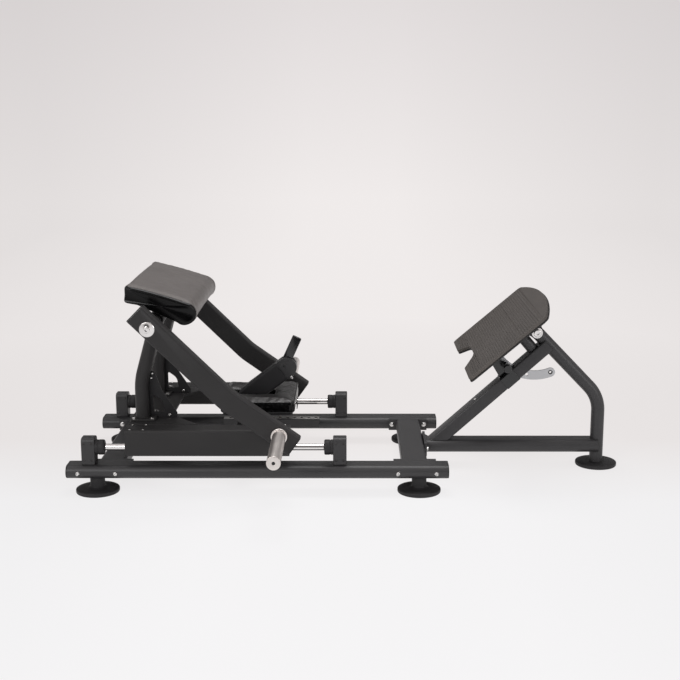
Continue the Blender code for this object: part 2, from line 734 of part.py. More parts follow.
def arc_loop(inner, outer, start, end, steps):
    """Return a ring sector; angles run from straight down towards +X."""
    loop = []
    for radius, first, last in ((outer, start, end), (inner, end, start)):
        for step in range(steps + 1):
            angle = first + (last - first) * step / steps
            loop.append((radius * math.sin(angle), -radius * math.cos(angle)))
    return loop


def quadrant_slot(name):
    """Return the cutter that clears the quadrant all along its swing."""
    half = QUADRANT_THICK / 2 + SLOT_CLEARANCE
    loop = arc_loop(QUADRANT_INNER - SLOT_CLEARANCE, QUADRANT_OUTER + SLOT_CLEARANCE,
                    math.radians(-95), math.radians(32), 20)
    return extruded(name, loop, PIVOT - Y_AXIS * half, Vector((1, 0, 0)), Z_AXIS,
                    Y_AXIS * half * 2)


def pin_housing():
    """Build the sleeve on the incline with the fork that guides the quadrant."""
    place = (PIN_POINT - INCLINE_FOOT).dot(INCLINE_DIR)
    first = INCLINE_FOOT + INCLINE_DIR * (place - HOUSING_BEHIND)
    last = INCLINE_FOOT + INCLINE_DIR * (place + HOUSING_AHEAD)
    fit = 2 * GAP
    outside = fit + 2 * HOUSING_SKIN
    housing = open_tube(
        "pin_housing", [first, last],
        rounded_box(INCLINE_BREADTH + outside, INCLINE_DEPTH + outside,
                    INCLINE_CORNER + HOUSING_SKIN, 2),
        rounded_box(INCLINE_BREADTH + fit, INCLINE_DEPTH + fit, INCLINE_CORNER, 2),
        "black_plastic")
    floor = INCLINE_DEPTH / 2 + GAP + HOUSING_SKIN / 2
    top = INCLINE_DEPTH / 2 + HOUSING_RISE
    fork = extruded("pin_fork", [(-HOUSING_BEHIND + 0.004, floor), (0.012, floor),
                                 (0.010, floor + 0.030), (-0.005, top), (-0.038, top)],
                    INCLINE_FOOT + INCLINE_DIR * place - Y_AXIS * HOUSING_BREADTH / 2,
                    INCLINE_DIR, INCLINE_UP, Y_AXIS * HOUSING_BREADTH)
    boolean(housing, fork, "UNION")
    barrel_end = HOUSING_BREADTH / 2 + BARREL_LENGTH
    barrel = rod("pin_barrel", PIN_POINT - Y_AXIS * barrel_end, PIN_POINT - Y_AXIS * 0.008,
                 BARREL_RADIUS, facets=SMALL_ROUND)
    boolean(housing, barrel, "UNION")
    boolean(housing, quadrant_slot("housing_slot"))
    boolean(housing, rod("pin_bore", PIN_POINT - Y_AXIS * (barrel_end + 0.01),
                         PIN_POINT + Y_AXIS * HOUSING_BREADTH,
                         PIN_RADIUS + RUN_CLEARANCE, facets=SMALL_ROUND))


def foot_pin(pivot):
    """Build the spring pin, drawn back just clear of the quadrant."""
    tip = -(QUADRANT_THICK / 2 + GAP)
    knob = -(HOUSING_BREADTH / 2 + BARREL_LENGTH + PIN_TRAVEL + GAP)
    turned("foot_pin", PIN_POINT, Y_AXIS,
           [(0, tip), (PIN_RADIUS, tip), (PIN_RADIUS, knob), (PIN_KNOB_RADIUS - 0.002, knob),
            (PIN_KNOB_RADIUS, knob - 0.002),
            (PIN_KNOB_RADIUS, knob - PIN_KNOB_LENGTH + 0.004),
            (PIN_KNOB_RADIUS - 0.004, knob - PIN_KNOB_LENGTH),
            (0, knob - PIN_KNOB_LENGTH)], "gloss_black", pivot, SMALL_ROUND)


def plate_outline(inset=0.0):
    """Return the foot plate's outline from its toe edge, notched and crowned."""
    half = PLATE_HALF_WIDTH - inset
    mouth = NOTCH_MOUTH + inset
    floor = NOTCH_FLOOR + inset
    crown = []
    radius = (PLATE_CROWN ** 2 + PLATE_HALF_WIDTH ** 2) / (2 * PLATE_CROWN)
    centre = PLATE_SIDE + PLATE_CROWN - radius
    for share in (0.62, 0.42, 0.21, 0.0, -0.21, -0.42, -0.62):
        y = half * share
        crown.append((centre + math.sqrt((radius - inset) ** 2 - y ** 2), y, 0, 0))
    corner = PLATE_CORNER - inset
    return filleted([
        (inset, -half, PLATE_TOE_CORNER, 3), (inset, -mouth, PLATE_TOE_CORNER, 3),
        (NOTCH_DEPTH + inset, -floor, PLATE_TOE_CORNER, 3),
        (NOTCH_DEPTH + inset, floor, PLATE_TOE_CORNER, 3),
        (inset, mouth, PLATE_TOE_CORNER, 3), (inset, half, PLATE_TOE_CORNER, 3),
        (PLATE_SIDE - inset / 2, half, corner, 6), *crown,
        (PLATE_SIDE - inset / 2, -half, corner, 6)])


def foot_plate(pivot):
    """Build the steel plate, its ribbed mat, ears, quadrant and pivot bolt."""
    under = PLATE_TOE - PLATE_UP * PLATE_UNDER
    extruded("foot_plate", plate_outline(), under, PLATE_DIR, Y_AXIS,
             PLATE_UP * (PLATE_THICK - GAP), "charcoal_frame", pivot)
    mat = extruded("foot_mat", plate_outline(MAT_INSET), PLATE_TOE - PLATE_UP * MAT_THICK,
                   PLATE_DIR, Y_AXIS, PLATE_UP * MAT_THICK, "ribbed_mat", pivot)
    groove = extruded("mat_groove",
                      [(0, -RIB_DEPTH), (RIB_GROOVE, -RIB_DEPTH), (RIB_GROOVE + 0.001, 0.004),
                       (-0.001, 0.004)],
                      PLATE_TOE + PLATE_DIR * RIB_PITCH - Y_AXIS * PLATE_HALF_WIDTH * 1.1,
                      PLATE_DIR, PLATE_UP, Y_AXIS * PLATE_HALF_WIDTH * 2.2, pivot=pivot)
    row = groove.modifiers.new("row", "ARRAY")
    row.count = int((PLATE_SIDE + PLATE_CROWN - RIB_PITCH) / RIB_PITCH)
    row.use_relative_offset = False
    row.use_constant_offset = True
    row.constant_offset_displace = PLATE_DIR * RIB_PITCH
    boolean(mat, groove)

    seat = PLATE_TOE + PLATE_DIR * PIVOT_FROM_TOE - PLATE_UP * (PLATE_UNDER + GAP)
    lap = PIVOT_BOSS_LENGTH / 2 + RUN_CLEARANCE
    half = lap + EAR_THICK
    drop = PIVOT_DROP - PLATE_UNDER - GAP
    profile = [(-EAR_SEAT_LENGTH / 2, 0), (-EAR_SEAT_LENGTH / 2, -EAR_SEAT_THICK)]
    for step in range(9):
        angle = math.radians(195 + 150 * step / 8)
        profile.append((EAR_RADIUS * math.cos(angle), EAR_RADIUS * math.sin(angle) - drop))
    profile += [(EAR_SEAT_LENGTH / 2, -EAR_SEAT_THICK), (EAR_SEAT_LENGTH / 2, 0)]
    ears = extruded("plate_ears", profile, seat - Y_AXIS * half, PLATE_DIR, PLATE_UP,
                    Y_AXIS * EAR_THICK, "charcoal_frame", pivot)
    boolean(ears, extruded("plate_tie", [(-EAR_SEAT_BACK, 0), (EAR_TIE - EAR_SEAT_BACK, 0),
                                         (EAR_TIE - EAR_SEAT_BACK, -EAR_SEAT_THICK),
                                         (-EAR_SEAT_BACK, -EAR_SEAT_THICK)],
                           seat - Y_AXIS * (half - 0.001), PLATE_DIR, PLATE_UP,
                           Y_AXIS * (2 * half - 0.002)), "UNION")
    boolean(ears, extruded("plate_far_ear", profile, seat + Y_AXIS * lap, PLATE_DIR,
                           PLATE_UP, Y_AXIS * EAR_THICK), "UNION")
    boolean(ears, rod("plate_ear_bore", PIVOT - Y_AXIS * half * 1.3,
                      PIVOT + Y_AXIS * half * 1.3, PIVOT_BOLT_RADIUS + GAP))
    quadrant(pivot)
    face = half + GAP
    turned("pivot_bolt", PIVOT, Y_AXIS,
           [(0, -face - WASHER_THICK - BOLT_HEAD), (BOLT_HEAD_RADIUS, -face - WASHER_THICK
                                                    - BOLT_HEAD),
            (BOLT_HEAD_RADIUS, -face - WASHER_THICK), (EAR_RADIUS, -face - WASHER_THICK),
            (EAR_RADIUS, -face), (PIVOT_BOLT_RADIUS, -face), (PIVOT_BOLT_RADIUS, face),
            (EAR_RADIUS, face), (EAR_RADIUS, face + WASHER_THICK), (0, face + WASHER_THICK)],
           "chrome", pivot)


def quadrant(pivot):
    """Build the indexing quadrant that passes through the incline."""
    start = {}
    depth = PIVOT_DROP - PLATE_UNDER - GAP
    for radius in (QUADRANT_INNER, QUADRANT_OUTER):
        start[radius] = PLATE_TILT - math.acos(-depth / radius)
    tail = INDEX_REST + 2 * INDEX_PITCH
    loop = []
    steps = 16
    for step in range(steps + 1):
        angle = start[QUADRANT_OUTER] + (tail - start[QUADRANT_OUTER]) * step / steps
        loop.append((QUADRANT_OUTER * math.sin(angle), -QUADRANT_OUTER * math.cos(angle)))
    mid = (QUADRANT_INNER + QUADRANT_OUTER) / 2
    half = (QUADRANT_OUTER - QUADRANT_INNER) / 2
    centre = Vector((mid * math.sin(tail), -mid * math.cos(tail)))
    for step in range(1, 8):
        angle = tail - math.pi / 2 + math.pi * step / 8
        loop.append((centre.x + half * math.cos(angle), centre.y + half * math.sin(angle)))
    for step in range(steps + 1):
        angle = tail + (start[QUADRANT_INNER] - tail) * step / steps
        loop.append((QUADRANT_INNER * math.sin(angle), -QUADRANT_INNER * math.cos(angle)))
    plate = extruded("quadrant", loop, PIVOT - Y_AXIS * QUADRANT_THICK / 2,
                     Vector((1, 0, 0)), Z_AXIS, Y_AXIS * QUADRANT_THICK, "silver_steel", pivot)
    for index in range(3):
        angle = INDEX_REST + INDEX_PITCH * index
        point = PIVOT + Vector((math.sin(angle), 0, -math.cos(angle))) * INDEX_RADIUS
        boolean(plate, rod(f"index_hole_{index}", point - Y_AXIS * 0.02,
                           point + Y_AXIS * 0.02, INDEX_HOLE_RADIUS, facets=SMALL_ROUND))


def carriage(pivot):
    """Build the sliding carriage: covers, bearings, deck and cross tube."""
    depth = COVER_TOP - OUTER_SKIRT
    for label, side in (("near", -1), ("far", 1)):
        outer = COVER_WIDTH / 2
        inner = outer - COVER_SKIN
        corner = COVER_CORNER
        bend = corner - COVER_SKIN
        profile = filleted([
            (outer, -OUTER_SKIRT, 0, 0), (outer, 0, corner, 3), (-outer, 0, corner, 3),
            (-outer, -INNER_SKIRT, 0, 0), (-inner, -INNER_SKIRT, 0, 0),
            (-inner, -COVER_SKIN, bend, 3), (inner, -COVER_SKIN, bend, 3),
            (inner, -OUTER_SKIRT, 0, 0)])
        across = Y_AXIS * side
        y = side * RAIL_CENTRE_Y
        cover = extruded(f"carriage_cover_{label}", profile,
                         Vector((COVER_LEFT, y, COVER_TOP)), across, Z_AXIS,
                         Vector((COVER_LENGTH, 0, 0)), "charcoal_frame", pivot)
        for end, x, inward in (("rear", COVER_LEFT, 1), ("front", COVER_RIGHT, -1)):
            lap = COVER_SKIN / 2
            low = (min(x, x + inward * COVER_SKIN), y - outer + lap, depth)
            high = (max(x, x + inward * COVER_SKIN), y + outer - lap, COVER_TOP - lap)
            boolean(cover, box(f"cover_end_{end}_{label}", low, high), "UNION")
            boolean(cover, rod(f"cover_hole_{end}_{label}", Vector((x - 0.02, y, ROD_Z)),
                               Vector((x + 0.02, y, ROD_Z)), ROD_RADIUS + 0.003))
            near_end = x + inward * (COVER_SKIN + BEARING_INSET)
            far_end = near_end + inward * BEARING_LENGTH
            fit = inner - GAP
            bearing = box(f"rod_bearing_{end}_{label}",
                          (min(near_end, far_end), y - fit, depth + 0.004),
                          (max(near_end, far_end), y + fit, COVER_TOP - COVER_SKIN - GAP),
                          "black_plastic", pivot, bevel=0.0085)
            boolean(bearing, rod(f"bearing_bore_{end}_{label}",
                                 Vector((near_end - inward * 0.02, y, ROD_Z)),
                                 Vector((far_end + inward * 0.02, y, ROD_Z)),
                                 ROD_RADIUS + RUN_CLEARANCE))
    half = COVER_INNER - GAP
    right = COVER_LEFT + DECK_LENGTH
    bay = right - DECK_BAY
    deck = filleted([(COVER_LEFT, -half, 0, 0), (right, -half, 0, 0),
                     (bay, -DECK_BAY_HALF, 0.02, 3), (bay, DECK_BAY_HALF, 0.02, 3),
                     (right, half, 0, 0), (COVER_LEFT, half, 0, 0)])
    extruded("carriage_deck", deck, Vector((0, 0, COVER_TOP - DECK_THICK)),
             Vector((1, 0, 0)), Y_AXIS, Z_AXIS * DECK_THICK, "charcoal_frame", pivot)
    wall = 2 * TUBE_WALL
    open_tube("carriage_cross_tube",
              [Vector((CARRIAGE_CROSS_X, -half, CARRIAGE_CROSS_Z)),
               Vector((CARRIAGE_CROSS_X, half, CARRIAGE_CROSS_Z))],
              rounded_box(CARRIAGE_CROSS_WIDTH, CARRIAGE_CROSS_HEIGHT, CROSS_CORNER),
              rounded_box(CARRIAGE_CROSS_WIDTH - wall, CARRIAGE_CROSS_HEIGHT - wall,
                          CROSS_CORNER - TUBE_WALL),
              "charcoal_frame", pivot, across=Vector((1, 0, 0)))


def pad_posts(pivot):
    """Build the bent posts with base plates, gussets and the axle's bosses."""
    foot = COVER_TOP + GAP
    for label, side in (("near", -1), ("far", 1)):
        y = side * POST_Y
        path = bent_path([Vector((POST_FOOT_X, y, foot)), Vector((POST_FOOT_X, y, POST_KNEE_Z)),
                          Vector((AXLE_X, y, AXLE_Z))], POST_BEND, 3)
        outer = rounded_box(POST_BREADTH, POST_DEPTH, POST_DEPTH / 2, CORNER_STEPS)
        wall = 2 * TUBE_WALL
        inner = rounded_box(POST_BREADTH - wall, POST_DEPTH - wall,
                            POST_DEPTH / 2 - TUBE_WALL, CORNER_STEPS)
        post = swept(f"pad_post_{label}", path, outer, "charcoal_frame", pivot)
        half = POST_BREADTH / 2
        boss = rod(f"post_boss_{label}", Vector((AXLE_X, y - half, AXLE_Z)),
                   Vector((AXLE_X, y + half, AXLE_Z)), POST_BOSS_RADIUS)
        boolean(post, boss, "UNION")
        plate = box(f"post_plate_{label}",
                    (POST_FOOT_X - POST_PLATE_LENGTH / 2 + 0.007,
                     y - POST_PLATE_BREADTH / 2, foot),
                    (POST_FOOT_X + POST_PLATE_LENGTH / 2 + 0.007,
                     y + POST_PLATE_BREADTH / 2, foot + POST_PLATE_THICK))
        boolean(post, plate, "UNION")
        core = [path[0] - Z_AXIS * 0.01] + path[1:]
        boolean(post, swept(f"post_core_{label}", core, inner))
        boolean(post, rod(f"post_bore_{label}", Vector((AXLE_X, y - POST_BREADTH, AXLE_Z)),
                          Vector((AXLE_X, y + POST_BREADTH, AXLE_Z)), AXLE_RADIUS + RUN_CLEARANCE))
        gusset(label, y, foot, pivot)


def gusset(label, y, foot, pivot):
    """Build the pierced plate that braces a post on the deck."""
    left = POST_FOOT_X + POST_DEPTH / 2 + GAP
    plate_end = POST_FOOT_X + POST_PLATE_LENGTH / 2 + 0.007 + GAP
    plate_top = foot + POST_PLATE_THICK + GAP
    right = left + GUSSET_REACH
    lean = math.atan((AXLE_X - POST_FOOT_X) / (AXLE_Z - POST_KNEE_Z))
    bend_z = POST_KNEE_Z - POST_BEND * math.tan(lean / 2)
    radius = POST_BEND - POST_DEPTH / 2 - GAP
    steps = 4
    seam = [(POST_FOOT_X + POST_BEND - radius * math.cos(lean * step / steps),
             bend_z + radius * math.sin(lean * step / steps), 0, 0)
            for step in range(steps, -1, -1)]
    loop = filleted([
        (left, plate_top, 0, 0), (plate_end, plate_top, 0, 0), (plate_end, foot, 0, 0),
        (right, foot, 0, 0), (right, foot + 0.018, 0.006, 2),
        (left + GUSSET_WAIST, GUSSET_WAIST_Z, 0.060, 3),
        (seam[0][0] + 0.012, seam[0][1], 0.008, 2), *seam])
    plate = extruded(f"post_gusset_{label}", loop, Vector((0, y - GUSSET_THICK / 2, 0)),
                     Vector((1, 0, 0)), Z_AXIS, Y_AXIS * GUSSET_THICK, "charcoal_frame", pivot)
    window = filleted([(left + 0.013, plate_top + 0.014, 0.004, 2),
                       (left + 0.056, plate_top + 0.014, 0.004, 2),
                       (left + 0.048, plate_top + 0.056, 0.034, 4),
                       (left + 0.013, plate_top + 0.082, 0.004, 2)])
    boolean(plate, extruded(f"gusset_window_{label}", window,
                            Vector((0, y - GUSSET_THICK, 0)), Vector((1, 0, 0)), Z_AXIS,
                            Y_AXIS * GUSSET_THICK * 2))


def boom_lines():
    """Return the boom's direction, its upper normal, its two corners and foot."""
    along = slope(BOOM_ANGLE)
    rise = CARRIAGE_CROSS_Z + CARRIAGE_CROSS_HEIGHT / 2 + GAP
    corner = Vector((BOOM_X, 0, rise + BOOM_RISE))
    end = corner + along * (BOOM_REACH / along.x)
    return along, above(along), corner, end, rise


def lever_centre():
    """Return the release lever's pivot point."""
    along, up, _, end, _ = boom_lines()
    return end - along * LEVER_PIN_BACK + up * LEVER_PIN_RISE


def boom_and_lever(pivot, lever_pivot):
    """Build the release boom on the cross tube with its forked head and lever."""
    along, up, corner, end, rise = boom_lines()
    stop = end - along * HEAD_OVERLAP
    wall = 2 * TUBE_WALL
    bore = rounded_box(BOOM_BREADTH - wall, BOOM_DEPTH - wall, BOOM_CORNER - TUBE_WALL)
    path = bent_path([Vector((BOOM_X, 0, rise)), corner, stop], BOOM_BEND, 5)
    open_tube("boom", path, rounded_box(BOOM_BREADTH, BOOM_DEPTH, BOOM_CORNER), bore,
              "charcoal_frame", pivot)

    centre = lever_centre()
    half = BOOM_BREADTH / 2 - HEAD_INSET
    radius = BOOM_DEPTH / 2 - HEAD_INSET
    foot = -HEAD_OVERLAP + GAP
    profile = [(foot, -radius)]
    steps = 10
    for step in range(steps + 1):
        angle = -math.pi / 2 + math.pi * step / steps
        profile.append((radius * math.cos(angle), radius * math.sin(angle)))
    profile.append((foot, radius))
    head = extruded("lever_bracket", profile, end - Y_AXIS * half, along, up,
                    Y_AXIS * 2 * half, "gloss_black", pivot)
    inner = BOOM_BREADTH / 2 - TUBE_WALL - GAP
    lip = BOOM_DEPTH / 2 - TUBE_WALL - GAP
    tenon = swept("head_tenon", [end + along * (foot - HEAD_TENON), end + along * (foot + 0.002)],
                  rounded_box(2 * inner, 2 * lip, BOOM_CORNER - TUBE_WALL - GAP))
    boolean(head, tenon, "UNION")
    slot_half = LEVER_BREADTH / 2 + RUN_CLEARANCE
    floor = LEVER_PIN_RISE - LEVER_DEPTH / 2 - LEVER_SLOT_SPACE
    wide = LEVER_DEPTH
    slot = [(foot + TUBE_WALL, floor), (wide * 2, floor), (wide * 2, BOOM_DEPTH),
            (foot + TUBE_WALL, BOOM_DEPTH)]
    boolean(head, extruded("lever_slot", slot, end - Y_AXIS * slot_half, along, up,
                           Y_AXIS * 2 * slot_half))
    boolean(head, rod("lever_bore", centre - Y_AXIS * half * 1.5, centre + Y_AXIS * half * 1.5,
                      LEVER_PIN_RADIUS + RUN_CLEARANCE, facets=SMALL_ROUND))

    lean = Vector((math.sin(LEVER_LEAN), 0, math.cos(LEVER_LEAN)))
    edge = LEVER_DEPTH / 2
    blade = []
    steps = 8
    for step in range(steps + 1):
        angle = math.pi + math.pi * step / steps
        blade.append((edge * math.cos(angle), edge * math.sin(angle)))
    blade += filleted([(edge, 0, 0, 0), (edge, LEVER_LENGTH, LEVER_CORNER, 3),
                       (-edge, LEVER_LENGTH, LEVER_CORNER, 3), (-edge, 0, 0, 0)])[1:-1]
    lever = extruded("release_lever", blade, centre - Y_AXIS * LEVER_BREADTH / 2,
                     Vector((lean.z, 0, -lean.x)), lean, Y_AXIS * LEVER_BREADTH,
                     "gloss_black", lever_pivot)
    reach = half + 0.0005
    boolean(lever, rod("lever_pin", centre - Y_AXIS * reach, centre + Y_AXIS * reach,
                       LEVER_PIN_RADIUS, facets=SMALL_ROUND), "UNION")


def seat_outline(inset):
    """Return the seat's plan, notched from the rear for the boom."""
    front = SEAT_FRONT_X - inset
    rear = SEAT_FRONT_X - SEAT_LENGTH + inset
    half = SEAT_HALF_WIDTH - inset
    notch = SEAT_NOTCH_HALF + inset
    floor = SEAT_FRONT_X - SEAT_LENGTH + SEAT_NOTCH_LENGTH + inset
    corner = SEAT_CORNER - inset
    hollow = SEAT_NOTCH_CORNER + inset
    return filleted([
        (front, -half, corner, 5), (front, half, corner, 5), (rear, half, corner, 5),
        (rear, notch, corner, 5), (floor, notch, hollow, 4), (floor, -notch, hollow, 4),
        (rear, -notch, corner, 5), (rear, -half, corner, 5)])


def seat(pivot):
    """Build the notched seat cushion and the board that carries it."""
    bottom = SEAT_TOP - SEAT_THICK
    sides = [(0.004, 0.0), (0.0008, 0.006), (0.0, 0.014), (0.0012, 0.028), (0.0006, 0.036),
             (0.0022, 0.043), (0.0062, 0.048), (0.0125, SEAT_THICK)]
    crown = [(0.020, SEAT_THICK + SEAT_CROWN * 0.7), (0.0218, SEAT_THICK + SEAT_CROWN)]
    rings = [[Vector((x, y, bottom + height)) for x, y in seat_outline(inset)]
             for inset, height in sides + crown]
    bm = bmesh.new()
    verts = bridge(bm, rings)
    bm.faces.new(verts[0])
    bm.faces.new(verts[-1])
    add_object("seat_cushion", bm, "grey_leather", pivot)

    top = bottom - GAP
    board = extruded("seat_board", seat_outline(SEAT_BOARD_INSET),
                     Vector((0, 0, top - SEAT_BOARD_THICK)), Vector((1, 0, 0)), Y_AXIS,
                     Z_AXIS * SEAT_BOARD_THICK, "charcoal_frame", pivot)
    base = CARRIAGE_CROSS_Z + CARRIAGE_CROSS_HEIGHT / 2 + GAP
    for label, side in (("near", -1), ("far", 1)):
        leg = box(f"seat_leg_{label}",
                  (CARRIAGE_CROSS_X - SEAT_LEG_LENGTH / 2,
                   side * SEAT_LEG_Y - SEAT_LEG_BREADTH / 2, base),
                  (CARRIAGE_CROSS_X + SEAT_LEG_LENGTH / 2,
                   side * SEAT_LEG_Y + SEAT_LEG_BREADTH / 2, top - SEAT_BOARD_THICK / 2))
        boolean(board, leg, "UNION")


def carriage_lock(pivot, pin_pivot):
    """Build the lock housing on the far cover and its drop pin."""
    outer = COVER_INNER - GAP
    y = RAIL_INNER - GAP - BAR_SIZE / 2
    housing = box("lock_housing", (LOCK_X - LOCK_LENGTH / 2, outer - LOCK_BREADTH, LOCK_BOTTOM),
                  (LOCK_X + LOCK_LENGTH / 2, outer, LOCK_BOTTOM + LOCK_HEIGHT),
                  "gloss_black", pivot, bevel=0.006)
    top = LOCK_BOTTOM + LOCK_HEIGHT
    boolean(housing, rod("lock_bore", Vector((LOCK_X, y, LOCK_BOTTOM - 0.01)),
                         Vector((LOCK_X, y, top + 0.01)),
                         LOCK_PIN_RADIUS + RUN_CLEARANCE, facets=SMALL_ROUND))
    tip = BAR_BOTTOM + BAR_SIZE + GAP
    knob = top + LOCK_TRAVEL + GAP
    turned("lock_pin", Vector((LOCK_X, y, 0)), Z_AXIS,
           [(0, tip), (LOCK_PIN_RADIUS, tip), (LOCK_PIN_RADIUS, knob),
            (LOCK_KNOB_RADIUS, knob), (LOCK_KNOB_RADIUS, knob + LOCK_KNOB_HEIGHT),
            (0, knob + LOCK_KNOB_HEIGHT)], "chrome", pin_pivot, SMALL_ROUND)


def weight_arms(pivot):
    """Build the two bent arms on their axle, with weight horns and rest pegs."""
    face = ARM_OUTER + GAP
    head = face + WASHER_THICK + BOLT_HEAD
    turned("arm_axle", AXLE, Y_AXIS,
           [(0, -head), (BOLT_HEAD_RADIUS, -head), (BOLT_HEAD_RADIUS, -face - WASHER_THICK),
            (WASHER_RADIUS, -face - WASHER_THICK), (WASHER_RADIUS, -face),
            (AXLE_RADIUS, -face), (AXLE_RADIUS, face), (WASHER_RADIUS, face),
            (WASHER_RADIUS, face + WASHER_THICK), (BOLT_HEAD_RADIUS, face + WASHER_THICK),
            (BOLT_HEAD_RADIUS, head), (0, head)], "chrome", pivot)
    upper = slope(-ARM_UPPER_SLOPE)
    lower = slope(-ARM_LOWER_SLOPE)
    start = AXLE + above(upper) * ARM_DROP - upper * ARM_BACK
    knee = start + upper * (ARM_BACK + ARM_UPPER_LENGTH)
    end = knee + lower * ARM_LOWER_LENGTH
    horn_point = end - lower * HORN_BACK + above(lower) * HORN_RISE
    outer = rounded_box(ARM_BREADTH, ARM_DEPTH, ARM_CORNER, 2)
    wall = 2 * TUBE_WALL
    inner = rounded_box(ARM_BREADTH - wall, ARM_DEPTH - wall, ARM_CORNER - TUBE_WALL, 2)
    for label, side in (("near", -1), ("far", 1)):
        shift = Y_AXIS * side * ARM_CENTRE_Y
        path = bent_path([start + shift, knee + shift, end + shift], ARM_BEND, 3)
        arm = capped_tube(f"weight_arm_{label}", path, outer, inner, "charcoal_frame", pivot)
        boolean(arm, rod(f"arm_bore_{label}", AXLE + shift - Y_AXIS * ARM_BREADTH,
                         AXLE + shift + Y_AXIS * ARM_BREADTH, AXLE_RADIUS + RUN_CLEARANCE))
        face = side * (ARM_OUTER + GAP)
        bore = HORN_RADIUS - HORN_WALL
        turned(f"weight_horn_{label}", horn_point + Y_AXIS * face, Y_AXIS * side,
               [(COLLAR_RADIUS, 0), (COLLAR_RADIUS, COLLAR_THICK),
                (HORN_RADIUS, COLLAR_THICK), (HORN_RADIUS, HORN_LENGTH - HORN_CHAMFER),
                (HORN_RADIUS - HORN_CHAMFER, HORN_LENGTH), (0.006, HORN_LENGTH),
                (0.006, HORN_LENGTH - HORN_WALL), (bore, HORN_LENGTH - HORN_WALL),
                (bore, 0)], "chrome", pivot)
        peg = Vector((end.x - PEG_BACK, side * (ARM_INNER - GAP), COVER_TOP + GAP + PEG_RADIUS))
        rod(f"arm_rest_{label}", peg, peg - Y_AXIS * side * PEG_LENGTH, PEG_RADIUS,
            "black_rubber", pivot, SMALL_ROUND)


def pad_section():
    """Return the cushion's side outline in X and Z: seat, rolled nose and top."""
    seat = slope(-PAD_SEAT_SLOPE)
    under = AXLE + above(seat) * (PAD_SEAT_RISE + GAP)
    back = under - seat * PAD_BOARD_BACK
    loop = [(back.x, back.z)]
    centre_x, centre_z = AXLE_X + PAD_NOSE_AHEAD, AXLE_Z + PAD_NOSE_RISE
    steps = 9
    for step in range(steps + 1):
        angle = math.radians(-130 + 195 * step / steps)
        loop.append((centre_x + PAD_NOSE_RADIUS * math.cos(angle),
                     centre_z + PAD_NOSE_RADIUS * math.sin(angle)))
    front_x, front_z = loop[-1]
    rear_x, rear_z = AXLE_X - PAD_BACK_REACH, AXLE_Z + PAD_BACK_TOP
    steps = 5
    for step in range(1, steps):
        share = step / steps
        bulge = PAD_TOP_BULGE * 4 * share * (1 - share)
        loop.append((front_x + (rear_x - front_x) * share,
                     front_z + (rear_z - front_z) * share + bulge))
    low = (AXLE_X - PAD_BACK_REACH, AXLE_Z + PAD_BACK_BOTTOM)
    corners = [(*loop[-1], 0, 0), (rear_x, rear_z, PAD_BACK_CORNER, 3),
               (*low, PAD_BACK_CORNER, 3), (back.x, back.z, 0, 0)]
    rounded = filleted(corners)
    return loop + rounded[1:-1]


def back_pad(pivot):
    """Build the cushion with its board and the sleeve on the axle."""
    loop = pad_section()
    count = len(loop)
    points = [Vector((x, 0, z)) for x, z in loop]
    inward = []
    for index, point in enumerate(points):
        into = (point - points[index - 1]).normalized()
        out = (points[(index + 1) % count] - point).normalized()
        along = (into + out).normalized()
        inward.append(Vector((-along.z, 0, along.x)))
    rings = []
    stations = []
    for step in range(6):
        angle = math.pi / 2 * step / 5
        stations.append((PAD_HALF_WIDTH - PAD_ROUND * (1 - math.sin(angle)),
                         PAD_ROUND * 0.7 * (1 - math.cos(angle))))
    spread = ([(-y, draw) for y, draw in reversed(stations)]
              + [(PAD_HALF_WIDTH * share, 0.0) for share in (-0.6, -0.3, 0, 0.3, 0.6)]
              + stations)
    flat = (points[1] - points[0]).normalized()
    normal = above(flat)
    skin = PAD_SEAT_RISE / 4
    for y, draw in spread:
        ring = []
        crown = PAD_CROWN * (1 - (y / PAD_HALF_WIDTH) ** 2)
        for point, toward in zip(points, inward):
            lift = (point - points[0]).dot(normal)
            place = point + toward * draw
            if draw and lift < skin:
                place = point + toward * draw * 0.3
            rise = crown if lift > 3 * skin else 0.0
            ring.append(place + normal * rise + Y_AXIS * y)
        rings.append(ring)
    bm = bmesh.new()
    verts = bridge(bm, rings)
    bm.faces.new(verts[0])
    bm.faces.new(verts[-1])
    add_object("pad_cushion", bm, "grey_leather", pivot)

    seat = slope(-PAD_SEAT_SLOPE)
    up = above(seat)
    half = PAD_BOARD_WIDTH / 2
    low = PAD_SEAT_RISE - PAD_BOARD_THICK
    board = filleted([(-PAD_BOARD_BACK, -half, 0.03, 3), (PAD_BOARD_FRONT, -half, 0.03, 3),
                      (PAD_BOARD_FRONT, half, 0.03, 3), (-PAD_BOARD_BACK, half, 0.03, 3)])
    extruded("pad_board", board, AXLE + up * low, seat, Y_AXIS, up * PAD_BOARD_THICK,
             "black_plastic", pivot)
    half = SLEEVE_LENGTH / 2
    sleeve = rod("pad_bracket", AXLE - Y_AXIS * half, AXLE + Y_AXIS * half, SLEEVE_RADIUS,
                 "charcoal_frame", pivot)
    saddle = extruded("pad_saddle", [(-0.030, low - GAP), (-0.024, 0), (0.024, 0),
                                     (0.030, low - GAP)],
                      AXLE - Y_AXIS * (half - 0.004), seat, up, Y_AXIS * (2 * half - 0.008))
    boolean(sleeve, saddle, "UNION")
    boolean(sleeve, rod("pad_sleeve_bore", AXLE - Y_AXIS * half * 1.2,
                        AXLE + Y_AXIS * half * 1.2, AXLE_RADIUS + RUN_CLEARANCE))


